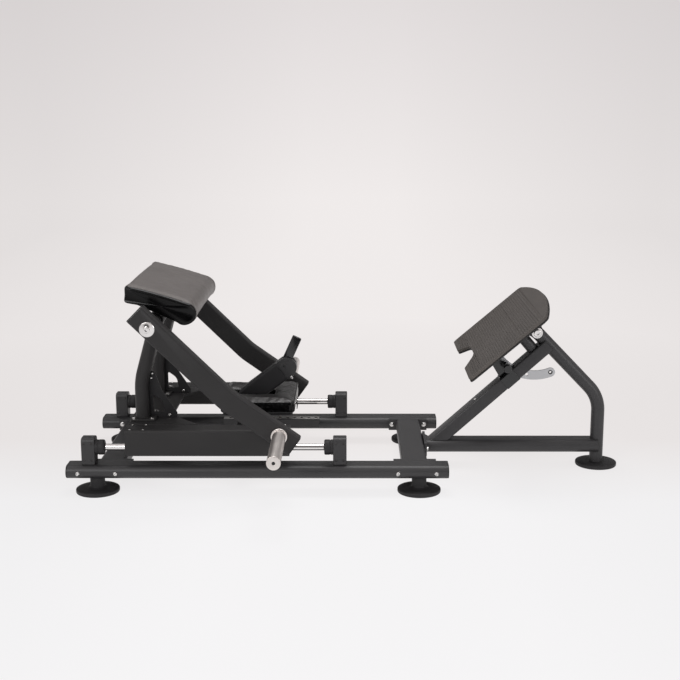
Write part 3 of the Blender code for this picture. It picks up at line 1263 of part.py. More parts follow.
def main():
    """Build the whole machine."""
    for obj in list(bpy.data.objects):
        bpy.data.objects.remove(obj, do_unlink=True)
    rails_and_feet()
    cross_member("rear_cross_member", REAR_CROSS_X)
    cross_member("front_cross_member", FRONT_CROSS_X)
    rods_and_blocks()
    index_bar()
    stand()
    pin_housing()
    plate_pivot = make_pivot("pivot_foot_plate", PIVOT)
    foot_plate(plate_pivot)
    foot_pin(make_pivot("slide_foot_pin", PIN_POINT))
    slide = make_pivot("slide_carriage", Vector((COVER_LEFT, 0, ROD_Z)))
    carriage(slide)
    pad_posts(slide)
    boom_and_lever(slide, make_pivot("pivot_release_lever", lever_centre()))
    seat(slide)
    carriage_lock(slide, make_pivot("slide_lock_pin", Vector((LOCK_X, RAIL_INNER, LOCK_BOTTOM))))
    weight_arms(make_pivot("pivot_weight_arms", AXLE))
    back_pad(make_pivot("pivot_back_pad", AXLE))


main()
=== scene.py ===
"""Looks of a hip-thrust (glute) machine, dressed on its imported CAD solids.

Metres, +X from the back pad towards the foot plate, +Y away from the
operator's side, +Z up. Every piece rides the CAD body that it belongs to.
"""

import logging
from collections.abc import Callable, Sequence
from dataclasses import dataclass, field
from enum import Enum
from math import acos, cos, pi, radians, sin, sqrt, tan, tau
from math import degrees as to_degrees
from typing import Any, ClassVar

import bmesh
import bpy
from mathutils import Matrix, Vector
from mathutils.bvhtree import BVHTree


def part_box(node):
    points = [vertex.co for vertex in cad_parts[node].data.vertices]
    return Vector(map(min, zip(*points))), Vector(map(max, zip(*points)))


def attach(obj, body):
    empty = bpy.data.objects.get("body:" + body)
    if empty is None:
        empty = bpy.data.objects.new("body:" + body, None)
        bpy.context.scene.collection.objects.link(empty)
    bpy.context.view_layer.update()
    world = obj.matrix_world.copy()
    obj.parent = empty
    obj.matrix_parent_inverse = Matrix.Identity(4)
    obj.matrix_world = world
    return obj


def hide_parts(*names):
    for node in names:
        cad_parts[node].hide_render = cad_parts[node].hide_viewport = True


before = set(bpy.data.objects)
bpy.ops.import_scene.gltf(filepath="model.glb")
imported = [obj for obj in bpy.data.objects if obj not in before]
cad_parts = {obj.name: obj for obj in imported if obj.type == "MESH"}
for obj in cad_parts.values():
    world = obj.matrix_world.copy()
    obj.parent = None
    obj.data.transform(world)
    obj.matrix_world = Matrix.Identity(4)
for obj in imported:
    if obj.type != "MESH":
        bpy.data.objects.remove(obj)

LOG = logging.getLogger("hip_thrust_machine")

Point = tuple[float, float]
Loop = list[Point]
Triple = tuple[float, float, float]
Corner = Triple
Colour = Triple
Sockets = dict[Any, Any] | None
Object = bpy.types.Object


def at(x: float, y: float, z: float) -> Vector:
    """Return the point or direction with these parts."""
    return Vector((x, y, z))


X_AXIS = at(1, 0, 0)
Y_AXIS = at(0, 1, 0)
Z_AXIS = at(0, 0, 1)

# The axle of the arms and the pad, and the pivot of the foot plate.
AXLE = at(-0.728, 0, 0.640)
PIVOT = at(0.722, 0, 0.546)


class Body(Enum):
    """CAD bodies that pieces ride on."""

    BASE = "base"
    FOOT_PLATE = "foot_plate"
    FOOT_PIN = "foot_pin"
    CARRIAGE = "carriage"
    RELEASE_LEVER = "release_lever"
    LOCK_PIN = "lock_pin"
    WEIGHT_ARMS = "weight_arms"
    BACK_PAD = "back_pad"


class Slot(Enum):
    """Material slots of the record."""

    FRAME = "charcoal_frame"
    PLASTIC = "black_plastic"
    GLOSS = "gloss_black"
    RUBBER = "black_rubber"
    MAT = "ribbed_mat"
    LEATHER = "grey_leather"
    CHROME = "chrome"
    STEEL = "silver_steel"


class Word(Enum):
    """Members whose names are words in the names of nodes."""

    @property
    def label(self) -> str:
        """Return the member's word."""
        return self.name.lower()


class Side(Word):
    """The two sides of the machine, with the sign of their Y."""

    NEAR = -1
    FAR = 1

    @property
    def out(self) -> Vector:
        """Return the direction out of the machine."""
        return Y_AXIS * self.value


class End(Word):
    """The two ends of the floor frame, with the sign of their X."""

    REAR = -1
    FRONT = 1


class Cut(Enum):
    """Ways in which two solids are combined."""

    AWAY = "DIFFERENCE"
    JOIN = "UNION"
    COMMON = "INTERSECT"


def slope(degrees: float) -> Vector:
    """Return the unit vector in the XZ plane that climbs at an angle."""
    angle = radians(degrees)
    return at(cos(angle), 0, sin(angle))


def above(direction: Vector) -> Vector:
    """Return the XZ-plane normal on the upper side of a direction."""
    return at(-direction.z, 0, direction.x)


def spanned(node: str) -> tuple[Vector, Vector, Vector]:
    """Return the two corners and the middle of a CAD node's box."""
    low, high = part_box(node)
    return low, high, (low + high) / 2


def lengthwise(node: str, spare: float = 0.0) -> list[Vector]:
    """Return the ends of a CAD node's centre line along X, drawn in by a spare."""
    low, high, middle = spanned(node)
    return [at(x, middle.y, middle.z) for x in (low.x + spare, high.x - spare)]


def round_box(width: float, height: float, radius: float, steps: int = 8) -> Loop:
    """Return a rounded rectangle centred on zero.

    Args:
        width: Size along the first axis.
        height: Size along the second axis.
        radius: Corner radius.
        steps: Segments in each corner.

    Returns:
        The loop, counter-clockwise.
    """
    loop = []
    for sign_a, sign_b, start in ((1, 1, 0.0), (-1, 1, 0.5), (-1, -1, 1.0), (1, -1, 1.5)):
        for step in range(steps + 1):
            angle = pi * (start + 0.5 * step / steps)
            loop.append((sign_a * (width / 2 - radius) + radius * cos(angle),
                         sign_b * (height / 2 - radius) + radius * sin(angle)))
    return loop


def circle(radius: float, facets: int = 48) -> Loop:
    """Return a regular polygon that stands for a circle."""
    return [(radius * cos(tau * i / facets), radius * sin(tau * i / facets))
            for i in range(facets)]


def filleted(corners: Sequence[Corner], steps: int = 6, closed: bool = True) -> Loop:
    """Round the corners of a polygon or of an open profile.

    Args:
        corners: Corners as (a, b, radius); a radius of zero stays sharp.
        steps: Segments in each rounded corner.
        closed: False for an open profile, whose two ends stay.

    Returns:
        The rounded loop or profile.
    """
    loop: Loop = []
    count = len(corners)
    for index, (a, b, radius) in enumerate(corners):
        here = Vector((a, b))
        if radius <= 0 or (not closed and index in (0, count - 1)):
            loop.append((a, b))
            continue
        before = (Vector(corners[index - 1][:2]) - here).normalized()
        after = (Vector(corners[(index + 1) % count][:2]) - here).normalized()
        half = acos(max(-1.0, min(1.0, before.dot(after)))) / 2
        if half > pi / 2 - 0.01:
            loop.append((a, b))
            continue
        reach = radius / tan(half)
        centre = here + (before + after).normalized() * (radius / sin(half))
        first = here + before * reach - centre
        turn = first.angle_signed(here + after * reach - centre)
        for step in range(steps + 1):
            point = centre + Matrix.Rotation(-turn * step / steps, 2) @ first
            loop.append((point.x, point.y))
    return loop


def swing(radius: float, first: float, last: float, steps: int = 48) -> Loop:
    """Return an arc; degrees run from straight down towards +X."""
    angles = [radians(first + (last - first) * step / steps) for step in range(steps + 1)]
    return [(radius * sin(angle), -radius * cos(angle)) for angle in angles]


def linked(name: str, data: bpy.types.ID) -> Object:
    """Return a new object of the scene that shows the data."""
    obj = bpy.data.objects.new(name, data)
    bpy.context.scene.collection.objects.link(obj)
    return obj


def traced(name: str, points: Sequence[Vector], edges: Sequence[Any] = ()) -> Object:
    """Return a new object of bare points and edges."""
    mesh = bpy.data.meshes.new(name)
    mesh.from_pydata(points, list(edges), [])
    return linked(name, mesh)


def entered(name: str, bm: bmesh.types.BMesh) -> Object:
    """Close a bmesh into a linked object with outward faces."""
    bmesh.ops.remove_doubles(bm, verts=bm.verts, dist=1e-6)
    bmesh.ops.recalc_face_normals(bm, faces=bm.faces)
    mesh = bpy.data.meshes.new(name)
    bm.to_mesh(mesh)
    bm.free()
    return smoothed(linked(name, mesh))


def smoothed(obj: Object, degrees: float = 34.0) -> Object:
    """Shade an object smooth except over edges sharper than an angle."""
    obj.data.shade_smooth()
    obj.data.set_sharp_from_angle(angle=radians(degrees))
    return obj


def settled(obj: Object) -> Object:
    """Turn an object's modifiers into its plain mesh."""
    graph = bpy.context.evaluated_depsgraph_get()
    mesh = bpy.data.meshes.new_from_object(obj.evaluated_get(graph), depsgraph=graph)
    obj.modifiers.clear()
    old = obj.data
    obj.data = mesh
    mesh.name = obj.name
    bpy.data.meshes.remove(old)
    return obj


def combined(obj: Object, tool: Object, how: Cut = Cut.AWAY) -> Object:
    """Cut or join a tool with an object and drop the tool.

    Args:
        obj: The object that is kept.
        tool: The object that is used up.
        how: Whether the tool is taken away or joined.

    Returns:
        The same object with its new mesh.
    """
    step = obj.modifiers.new("combine", "BOOLEAN")
    step.operation = how.value
    step.solver = "EXACT"
    step.object = tool
    settled(obj)
    discarded(tool)
    return smoothed(obj)


def discarded(obj: Object) -> None:
    """Remove an object with its mesh."""
    mesh = obj.data
    bpy.data.objects.remove(obj)
    bpy.data.meshes.remove(mesh)


def softened(obj: Object, width: float, segments: int = 3, degrees: float = 40.0) -> Object:
    """Round an object's edges and weight its normals by face area.

    Args:
        obj: The object.
        width: Width of the rounding.
        segments: Segments across it.
        degrees: Edges sharper than this are rounded.

    Returns:
        The same object with its new mesh.
    """
    bevel = obj.modifiers.new("edge", "BEVEL")
    bevel.width = width
    bevel.segments = segments
    bevel.limit_method = "ANGLE"
    bevel.angle_limit = radians(degrees)
    bevel.use_clamp_overlap = True
    bevel.miter_outer = "MITER_ARC"
    settled(obj)
    smoothed(obj, 50.0)
    weight = obj.modifiers.new("normals", "WEIGHTED_NORMAL")
    weight.keep_sharp = True
    weight.weight = 80
    return settled(obj)


def bent_path(corners: Sequence[Vector], radius: float, steps: int = 16) -> list[Vector]:
    """Return a path in the XZ plane whose inner corners are bent."""
    path = [corners[0]]
    for before, here, after in zip(corners, corners[1:], corners[2:]):
        back = (before - here).normalized()
        ahead = (after - here).normalized()
        half = back.angle(ahead) / 2
        centre = here + (back + ahead).normalized() * (radius / sin(half))
        first = here + back * (radius / tan(half)) - centre
        normal = first.cross(ahead).normalized()
        for step in range(steps + 1):
            angle = (pi - 2 * half) * step / steps
            path.append(centre + Matrix.Rotation(angle, 3, normal) @ first)
    path.append(corners[-1])
    return path


def ring_rows(path: Sequence[Vector], loop: Loop, across: Vector = Y_AXIS) -> list[list[Vector]]:
    """Return one ring of points at each place of a path."""
    rings = []
    for index, point in enumerate(path):
        before, after = path[max(index - 1, 0)], path[min(index + 1, len(path) - 1)]
        into = (point - before) if index else (after - point)
        out = (after - point) if index < len(path) - 1 else (point - before)
        along = (into.normalized() + out.normalized()).normalized()
        up = along.cross(across).normalized() / max(along.dot(out.normalized()), 0.5)
        rings.append([point + across * a + up * b for a, b in loop])
    return rings


def bridged(bm: bmesh.types.BMesh, rings: Sequence[Sequence[Vector]],
            closed: bool = False) -> list[list[bmesh.types.BMVert]]:
    """Join successive rings of points by faces and return their vertices."""
    verts = [[bm.verts.new(point) for point in ring] for ring in rings]
    spans = list(zip(verts, verts[1:])) + ([(verts[-1], verts[0])] if closed else [])
    for first, second in spans:
        for i in range(len(first)):
            j = (i + 1) % len(first)
            bm.faces.new((first[i], first[j], second[j], second[i]))
    return verts


def swept(name: str, path: Sequence[Vector], outer: Loop, bore: Loop | None = None,
          across: Vector = Y_AXIS) -> Object:
    """Sweep a section along a path as a solid, or as a tube with a bore.

    Args:
        name: Name of the object.
        path: Points that the section follows.
        outer: Outer section; its first axis lies along across.
        bore: Inner section of as many points, for an open tube.
        across: Direction that stays square to the path.

    Returns:
        The new object.
    """
    bm = bmesh.new()
    skin = ring_rows(path, outer, across)
    if bore:
        bridged(bm, skin + ring_rows(path, bore, across)[::-1], closed=True)
    else:
        verts = bridged(bm, skin)
        bm.faces.new(verts[0])
        bm.faces.new(verts[-1])
    return entered(name, bm)


def slab(name: str, loop: Loop, origin: Vector, axis_a: Vector, axis_b: Vector,
          depth: Vector, soft: float = 0.0) -> Object:
    """Extrude a loop that is laid on two axes, with softened edges if asked."""
    bm = bmesh.new()
    face = bm.faces.new([bm.verts.new(origin + axis_a * a + axis_b * b) for a, b in loop])
    grown = bmesh.ops.extrude_face_region(bm, geom=[face])
    moved = [item for item in grown["geom"] if isinstance(item, bmesh.types.BMVert)]
    bmesh.ops.translate(bm, verts=moved, vec=depth)
    obj = entered(name, bm)
    return softened(obj, soft) if soft else obj


def block(name: str, low: Vector, high: Vector) -> Object:
    """Add a box between two corners."""
    bm = bmesh.new()
    place = Matrix.Translation((low + high) / 2) @ Matrix.Diagonal((*(high - low), 1))
    bmesh.ops.create_cube(bm, size=1, matrix=place)
    return entered(name, bm)


def turned(name: str, origin: Vector, axis: Vector, profile: Loop, facets: int = 64) -> Object:
    """Spin a profile of (radius, height) pairs round an axis.

    Args:
        name: Name of the object.
        origin: Point on the axis where the height is zero.
        axis: Unit vector along the axis.
        profile: Points of the profile; it is closed if no end is on the axis.
        facets: Number of flats round the axis.

    Returns:
        The new object.
    """
    bm = bmesh.new()
    side = axis.orthogonal().normalized()
    other = axis.cross(side)
    spokes = [side * cos(tau * i / facets) + other * sin(tau * i / facets) for i in range(facets)]
    rings = [[origin + spoke * max(r, 1e-7) + axis * h for spoke in spokes] for r, h in profile]
    closed = profile[0][0] > 1e-6 and profile[-1][0] > 1e-6
    bridged(bm, rings, closed)
    return entered(name, bm)


def rod(name: str, start: Vector, end: Vector, radius: float, ease: float = 0.0,
        facets: int = 64) -> Object:
    """Add a round bar between two points with eased rims."""
    run = end - start
    corners = [(0, 0, 0), (radius, 0, ease), (radius, run.length, ease), (0, run.length, 0)]
    return lathed(name, start, run.normalized(), corners, 3, facets)


def lathed(name: str, origin: Vector, axis: Vector, corners: Sequence[Corner],
           steps: int, facets: int) -> Object:
    """Spin an open profile of (radius, height, rounding) corners round an axis."""
    return turned(name, origin, axis, filleted(corners, steps, closed=False), facets)


def bored(obj: Object, spot: Vector, reach: Vector, radius: float, facets: int = 64) -> Object:
    """Bore a round hole that reaches equally far on both sides of a spot."""
    return combined(obj, rod("bore", spot - reach, spot + reach, radius, facets=facets))


def refined(node: str, width: float) -> Object:
    """Return a smoothed copy of a CAD node with its edges rounded by a width."""
    bm = bmesh.new()
    bm.from_mesh(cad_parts[node].data)
    bmesh.ops.remove_doubles(bm, verts=bm.verts, dist=1e-5)
    bmesh.ops.dissolve_limit(
        bm, angle_limit=radians(0.8), verts=bm.verts, edges=bm.edges, delimit={"NORMAL"})
    return softened(entered(f"{node}_shown", bm), width)


class NodeTree:
    """A tree of nodes that is written by calls."""

    tree: bpy.types.NodeTree

    def node(self, kind: str, sockets: Sockets = None, **settings: Any) -> bpy.types.Node:
        """Add a node.

        Args:
            kind: Blender's name of the node type.
            sockets: Values, sockets or wires of its inputs, by name or index.
            **settings: Properties of the node, set first.

        Returns:
            The new node.
        """
        made = self.tree.nodes.new(kind)
        for label, value in settings.items():
            setattr(made, label, value)
        for label, value in (sockets or {}).items():
            value = value.socket if isinstance(value, Wire) else value
            if isinstance(value, bpy.types.NodeSocket):
                self.tree.links.new(value, made.inputs[label])
            else:
                made.inputs[label].default_value = value
        return made

    def out(self, kind: str, sockets: Sockets = None, output: Any = 0,
            **settings: Any) -> bpy.types.NodeSocket:
        """Add a node and return one of its output sockets."""
        return self.node(kind, sockets, **settings).outputs[output]


class Wire:
    """A shader socket that takes part in Python arithmetic."""

    def __init__(self, tree: "ShaderTree", socket: bpy.types.NodeSocket) -> None:
        """Hold a socket and the tree that it belongs to."""
        self.tree = tree
        self.socket = socket

    def maths(self, operation: str, first: Any, second: Any) -> "Wire":
        """Add a Math node and return its result."""
        return self.tree.wire("ShaderNodeMath", 0, {0: first, 1: second}, operation=operation)

    def __add__(self, other: Any) -> "Wire":
        """Return self + other."""
        return self.maths("ADD", self, other)

    def __sub__(self, other: Any) -> "Wire":
        """Return self - other."""
        return self.maths("SUBTRACT", self, other)

    def __mul__(self, other: Any) -> "Wire":
        """Return self * other."""
        return self.maths("MULTIPLY", self, other)

    __radd__ = __add__


class ShaderTree(NodeTree):
    """The node tree of one material or world."""

    def __init__(self, holder: Any) -> None:
        """Empty a material's or world's tree and keep it."""
        holder.use_nodes = True
        self.tree = holder.node_tree
        self.tree.nodes.clear()

    def wire(self, kind: str, output: Any, sockets: Sockets = None, **settings: Any) -> Wire:
        """Add a node and return one of its outputs as a wire."""
        return Wire(self, self.out(kind, sockets, output, **settings))

    def place(self, stretch: Triple | None = None, turn: Triple = (0.0, 0.0, 0.0)) -> Wire:
        """Return Object coordinates, stretched and turned if asked."""
        spot = self.wire("ShaderNodeTexCoord", "Object")
        if stretch is None:
            return spot
        return self.wire(
            "ShaderNodeMapping", "Vector", {"Vector": spot, "Scale": stretch, "Rotation": turn})

    def along(self, axis: str) -> Wire:
        """Return one of the Object coordinates."""
        return self.wire("ShaderNodeSeparateXYZ", axis, {0: self.place()})

    def noise(self, scale: float, detail: float = 2.0, spot: Wire | None = None) -> Wire:
        """Return a noise value from 0 to 1 over the piece."""
        return self.wire("ShaderNodeTexNoise", "Fac",
                         {"Vector": spot or self.place(), "Scale": scale, "Detail": detail})

    def cells(self, scale: float, feature: str = "F1") -> Wire:
        """Return the distance in a field of Voronoi cells."""
        return self.wire("ShaderNodeTexVoronoi", "Distance",
                         {"Vector": self.place(), "Scale": scale}, feature=feature)

    def ranged(self, value: Wire, low: float, high: float, first: float = 0.0,
               last: float = 1.0) -> Wire:
        """Return a value remapped and clamped from one range to another."""
        return self.wire(
            "ShaderNodeMapRange", "Result",
            {"Value": value, "From Min": low, "From Max": high, "To Min": first, "To Max": last},
            clamp=True)

    def blend(self, factor: Any, first: Any, second: Any) -> Wire:
        """Return a mix of two colours."""
        return self.wire("ShaderNodeMix", 2, {0: factor, 6: first, 7: second}, data_type="RGBA")

    def mottled(self, factor: Wire, colour: Colour, dark: float, pale: float) -> Wire:
        """Return a mix of a darker and a paler shade of one colour."""
        return self.blend(factor, shaded(colour, dark), shaded(colour, pale))

    def bump(self, height: Wire, strength: float, distance: float,
             under: Wire | None = None) -> Wire:
        """Return a bumped normal, on top of another one if given."""
        sockets = {"Height": height, "Strength": strength, "Distance": distance}
        if under:
            sockets["Normal"] = under
        return self.wire("ShaderNodeBump", "Normal", sockets)

    def surface(self, colour: Wire, roughness: Any, normal: Wire | None = None,
                **others: float) -> None:
        """End a material in a Principled shader.

        Args:
            colour: Its Base Color.
            roughness: Its Roughness.
            normal: Its Normal, if bumped.
            **others: Values of other sockets, with _ for a space.
        """
        sockets = {"Base Color": colour, "Roughness": roughness}
        if normal:
            sockets["Normal"] = normal
        sockets.update({label.replace("_", " "): value for label, value in others.items()})
        self.ended(self.wire("ShaderNodeBsdfPrincipled", 0, sockets))

    def ended(self, shader: Wire, holder: str = "Material") -> None:
        """End the tree of a material or world in a shader."""
        self.node(f"ShaderNodeOutput{holder}", {0: shader})


def shaded(colour: Colour, share: float) -> tuple[float, float, float, float]:
    """Return a colour made darker or lighter, with full alpha."""
    return (colour[0] * share, colour[1] * share, colour[2] * share, 1.0)


@dataclass(frozen=True)
class Finish:
    """A surface finish that makes its own procedural material."""

    name: str
    slot: Slot
    colour: Colour
    roughness: float

    def material(self) -> bpy.types.Material:
        """Return the finish's material, made on first use."""
        found = bpy.data.materials.get(self.name)
        if found:
            return found
        made = bpy.data.materials.new(self.name)
        self.compose(ShaderTree(made))
        return made

    def compose(self, tree: ShaderTree) -> None:
        """Write the nodes of the finish."""
        raise NotImplementedError


@dataclass(frozen=True)
class PowderCoat(Finish):
    """Charcoal powder coat with a fine orange peel and faint dust."""

    grain: float = 1100.0
    sheen_level: float = 0.24

    def compose(self, tree: ShaderTree) -> None:
        """Write the nodes of the powder coat."""
        cloud = tree.noise(5.0, 4.0)
        fleck = tree.noise(self.grain, 2.0)
        peel = tree.noise(260.0, 2.0)
        tone = tree.ranged(cloud, 0.3, 0.7)
        base = tree.mottled(tone, self.colour, 0.90, 1.10)
        spots = tree.ranged(fleck, 0.62, 0.80, 0.0, 0.35)
        base = tree.blend(spots, base, shaded(self.colour, 1.9))
        fine = tree.bump(fleck, 0.22, 0.0004)
        tree.surface(
            base, self.roughness + (cloud - 0.5) * 0.10 + (fleck - 0.5) * 0.08,
            tree.bump(peel, 0.10, 0.0008, fine), Metallic=0.0, Specular_IOR_Level=self.sheen_level)


@dataclass(frozen=True)
class MouldedPlastic(Finish):
    """Spark-eroded black plastic with a fine pebble."""

    pebble: float = 900.0

    def compose(self, tree: ShaderTree) -> None:
        """Write the nodes of the moulded plastic."""
        cloud = tree.noise(14.0, 3.0)
        pebble = tree.cells(self.pebble)
        base = tree.mottled(cloud, self.colour, 0.82, 1.18)
        tree.surface(base, self.roughness + (cloud - 0.5) * 0.14, tree.bump(pebble, 0.25, 0.0003))


@dataclass(frozen=True)
class GlossPlastic(Finish):
    """Smooth glossy black plastic with faint hand marks."""

    def compose(self, tree: ShaderTree) -> None:
        """Write the nodes of the glossy plastic."""
        smudge = tree.ranged(tree.noise(22.0, 5.0), 0.45, 0.75)
        wave = tree.noise(60.0, 1.0)
        base = tree.mottled(smudge, self.colour, 1.0, 1.5)
        tree.surface(base, self.roughness + smudge * 0.14, tree.bump(wave, 0.05, 0.001),
                     Coat_Weight=0.3, Coat_Roughness=0.08)


@dataclass(frozen=True)
class Rubber(Finish):
    """Matte moulded rubber with a trace of dust."""

    def compose(self, tree: ShaderTree) -> None:
        """Write the nodes of the rubber."""
        cloud = tree.noise(9.0, 5.0)
        grit = tree.noise(650.0, 3.0)
        dust = tree.ranged(cloud, 0.48, 0.78, 0.0, 0.45)
        base = tree.mottled(dust, self.colour, 0.95, 1.7)
        tree.surface(base, self.roughness + (grit - 0.5) * 0.12,
                     tree.bump(grit, 0.30, 0.0006), Specular_IOR_Level=0.35)


@dataclass(frozen=True)
class MatRubber(Finish):
    """Grey-brown rubber of the ribbed foot mat, with paler flecks."""

    def compose(self, tree: ShaderTree) -> None:
        """Write the nodes of the mat."""
        cloud = tree.noise(7.0, 4.0)
        grit = tree.noise(520.0, 4.0)
        flecks = tree.ranged(tree.noise(420.0, 1.0), 0.60, 0.80, 0.0, 0.30)
        base = tree.mottled(cloud, self.colour, 0.84, 1.16)
        base = tree.blend(flecks, base, shaded(self.colour, 1.45))
        tree.surface(base, self.roughness + (cloud - 0.5) * 0.12,
                     tree.bump(grit, 0.22, 0.0006), Specular_IOR_Level=0.35)


@dataclass(frozen=True)
class Leather(Finish):
    """Grained upholstery leather with fine creases."""

    pebble: float = 620.0
    depth: float = 0.35
    gloss: float = 0.45
    crease: float = 0.06

    def compose(self, tree: ShaderTree) -> None:
        """Write the nodes of the leather."""
        warp = tree.noise(30.0, 2.0)
        cells = tree.cells(self.pebble, "F1")
        rims = tree.ranged(tree.cells(self.pebble * 0.55, "DISTANCE_TO_EDGE"), 0.0, 0.12)
        crease = tree.ranged(tree.noise(38.0, 6.0), 0.44, 0.56)
        cloud = tree.noise(8.0, 4.0)
        base = tree.mottled(tree.ranged(cloud, 0.3, 0.7), self.colour, 0.90, 1.10)
        base = tree.blend(rims, shaded(self.colour, 0.72), base)
        grain = tree.bump(cells * 0.6 + rims * 0.4, self.depth, 0.0005)
        tree.surface(base, self.roughness + (warp - 0.5) * 0.16 - rims * 0.04,
                     tree.bump(crease, self.crease, 0.0010, grain), Specular_IOR_Level=self.gloss)


@dataclass(frozen=True)
class Chrome(Finish):
    """Polished or satin plating with faint handling marks."""

    lay: Triple | None = None

    def compose(self, tree: ShaderTree) -> None:
        """Write the nodes of the plating."""
        smudge = tree.ranged(tree.noise(18.0, 5.0), 0.42, 0.78)
        lines = tree.noise(240.0, 2.0, tree.place(self.lay))
        base = tree.mottled(smudge, self.colour, 1.0, 0.90)
        tree.surface(base, self.roughness + smudge * 0.08 + (lines - 0.5) * 0.08,
                     tree.bump(lines, 0.04, 0.0004), Metallic=1.0)


@dataclass(frozen=True)
class BrushedSteel(Finish):
    """Bright steel plate with a fine directional grain."""

    lay: Triple = (0.05, 1.0, 1.0)

    def compose(self, tree: ShaderTree) -> None:
        """Write the nodes of the steel."""
        lines = tree.noise(900.0, 3.0, tree.place(self.lay, (0.0, 0.6, 0.0)))
        cloud = tree.noise(12.0, 4.0)
        base = tree.mottled(lines, self.colour, 0.82, 1.12)
        tree.surface(base, self.roughness + (lines - 0.5) * 0.20 + (cloud - 0.5) * 0.12,
                     tree.bump(lines, 0.12, 0.0003), Metallic=0.85)


FRAME_COAT = PowderCoat(
    "charcoal_powder_coat", Slot.FRAME, (0.0350, 0.0336, 0.0350), 0.42, 1100.0, 0.42)
# Painted light and shade: the carriage and plate coats are darker copies of the frame's one
# charcoal powder coat. Each copy's brightness is set by how much light its parts get, not by a
# different paint.
CARRIAGE_SHADE_COAT = PowderCoat("carriage_powder_coat", Slot.FRAME, (0.0165, 0.0157, 0.0167), 0.52)
PLATE_SHADE_COAT = PowderCoat("satin_powder_coat", Slot.FRAME, (0.0260, 0.0246, 0.0248), 0.52)
BLACK_PLASTIC = MouldedPlastic("moulded_black_plastic", Slot.PLASTIC, (0.025, 0.0239, 0.025), 0.46)
CAP_PLASTIC = MouldedPlastic("cap_plastic", Slot.PLASTIC, (0.010, 0.0095, 0.010), 0.30, 600.0)
HEAD_PLASTIC = MouldedPlastic(
    "lever_head_plastic", Slot.GLOSS, (0.020, 0.0192, 0.020), 0.34, 800.0)
GLOSS_BLACK = GlossPlastic("gloss_black_plastic", Slot.GLOSS, (0.006, 0.006, 0.0065), 0.14)
FOOT_RUBBER = Rubber("foot_rubber", Slot.RUBBER, (0.018, 0.017, 0.018), 0.60)
FOOT_MAT = MatRubber("foot_mat_rubber", Slot.MAT, (0.085, 0.075, 0.069), 0.72)
PAD_TOP = Leather("pad_grey_leather", Slot.LEATHER, (0.156, 0.138, 0.132), 0.46)
PAD_SIDE = Leather(
    "pad_black_leather", Slot.LEATHER, (0.0016, 0.0015, 0.0017), 0.24, 700.0, 0.12, 0.24, 0.015)
# Seat top leather: its own dark leather, darkened further by painted shade from the boom above it.
SEAT_TOP = Leather("seat_dark_leather", Slot.LEATHER, (0.024, 0.022, 0.022), 0.36, 640.0, 0.25)
THREAD = Rubber("seam_thread", Slot.LEATHER, (0.012, 0.012, 0.012), 0.62)
CHROME = Chrome("polished_chrome", Slot.CHROME, (0.78, 0.76, 0.75), 0.10)
HORN_CHROME = Chrome("satin_chrome", Slot.CHROME, (0.80, 0.75, 0.72), 0.36, (1.0, 0.04, 1.0))
SILVER_STEEL = BrushedSteel("silver_steel", Slot.STEEL, (0.42, 0.41, 0.40), 0.34)
# Painted reflection: a bright steel finish for the index bar's upward faces only, standing in for
# the light its top catches.
BAR_TOP_REFLECTION = BrushedSteel("bare_bar_steel", Slot.FRAME, (0.40, 0.39, 0.38), 0.40, (0.04, 1.0, 1.0))
ZINC = Chrome("zinc_plating", Slot.CHROME, (0.66, 0.65, 0.64), 0.22)
BLACK_OXIDE = Chrome("black_oxide", Slot.FRAME, (0.060, 0.058, 0.058), 0.30)


class GeometryTree(NodeTree):
    """A Geometry Nodes tree with named inputs for its sizes."""

    def __init__(self, name: str, **sizes: str) -> None:
        """Open a tree.

        Args:
            name: Name of the tree.
            **sizes: Socket type of each named input, without its prefix.
        """
        self.tree = bpy.data.node_groups.new(name, "GeometryNodeTree")
        face = self.tree.interface
        for label, kind in (("Geometry", "Geometry"), *sizes.items(), ("Material", "Material")):
            face.new_socket(label, in_out="INPUT", socket_type=f"NodeSocket{kind}")
        face.new_socket("Geometry", in_out="OUTPUT", socket_type="NodeSocketGeometry")
        self.entry = self.tree.nodes.new("NodeGroupInput")

    def size(self, label: str) -> bpy.types.NodeSocket:
        """Return the socket of a named input."""
        return self.entry.outputs[label]

    def closed(self, geometry: bpy.types.NodeSocket) -> "GeometryTree":
        """End the tree in Realize Instances and Set Material."""
        real = self.out("GeometryNodeRealizeInstances", {"Geometry": geometry})
        dressed = self.out(
            "GeometryNodeSetMaterial", {"Geometry": real, "Material": self.size("Material")})
        self.node("NodeGroupOutput", {"Geometry": dressed})
        return self

    def applied(self, obj: Object, **values: Any) -> Object:
        """Run the tree on an object and keep the result as its plain mesh.

        Args:
            obj: The object that carries the input mesh.
            **values: Values of the named inputs.

        Returns:
            The same object with the made mesh.
        """
        step = obj.modifiers.new(self.tree.name, "NODES")
        step.node_group = self.tree
        for item in self.tree.interface.items_tree:
            if item.item_type == "SOCKET" and item.in_out == "INPUT" and item.name in values:
                step[item.identifier] = values[item.name]
        return settled(obj)


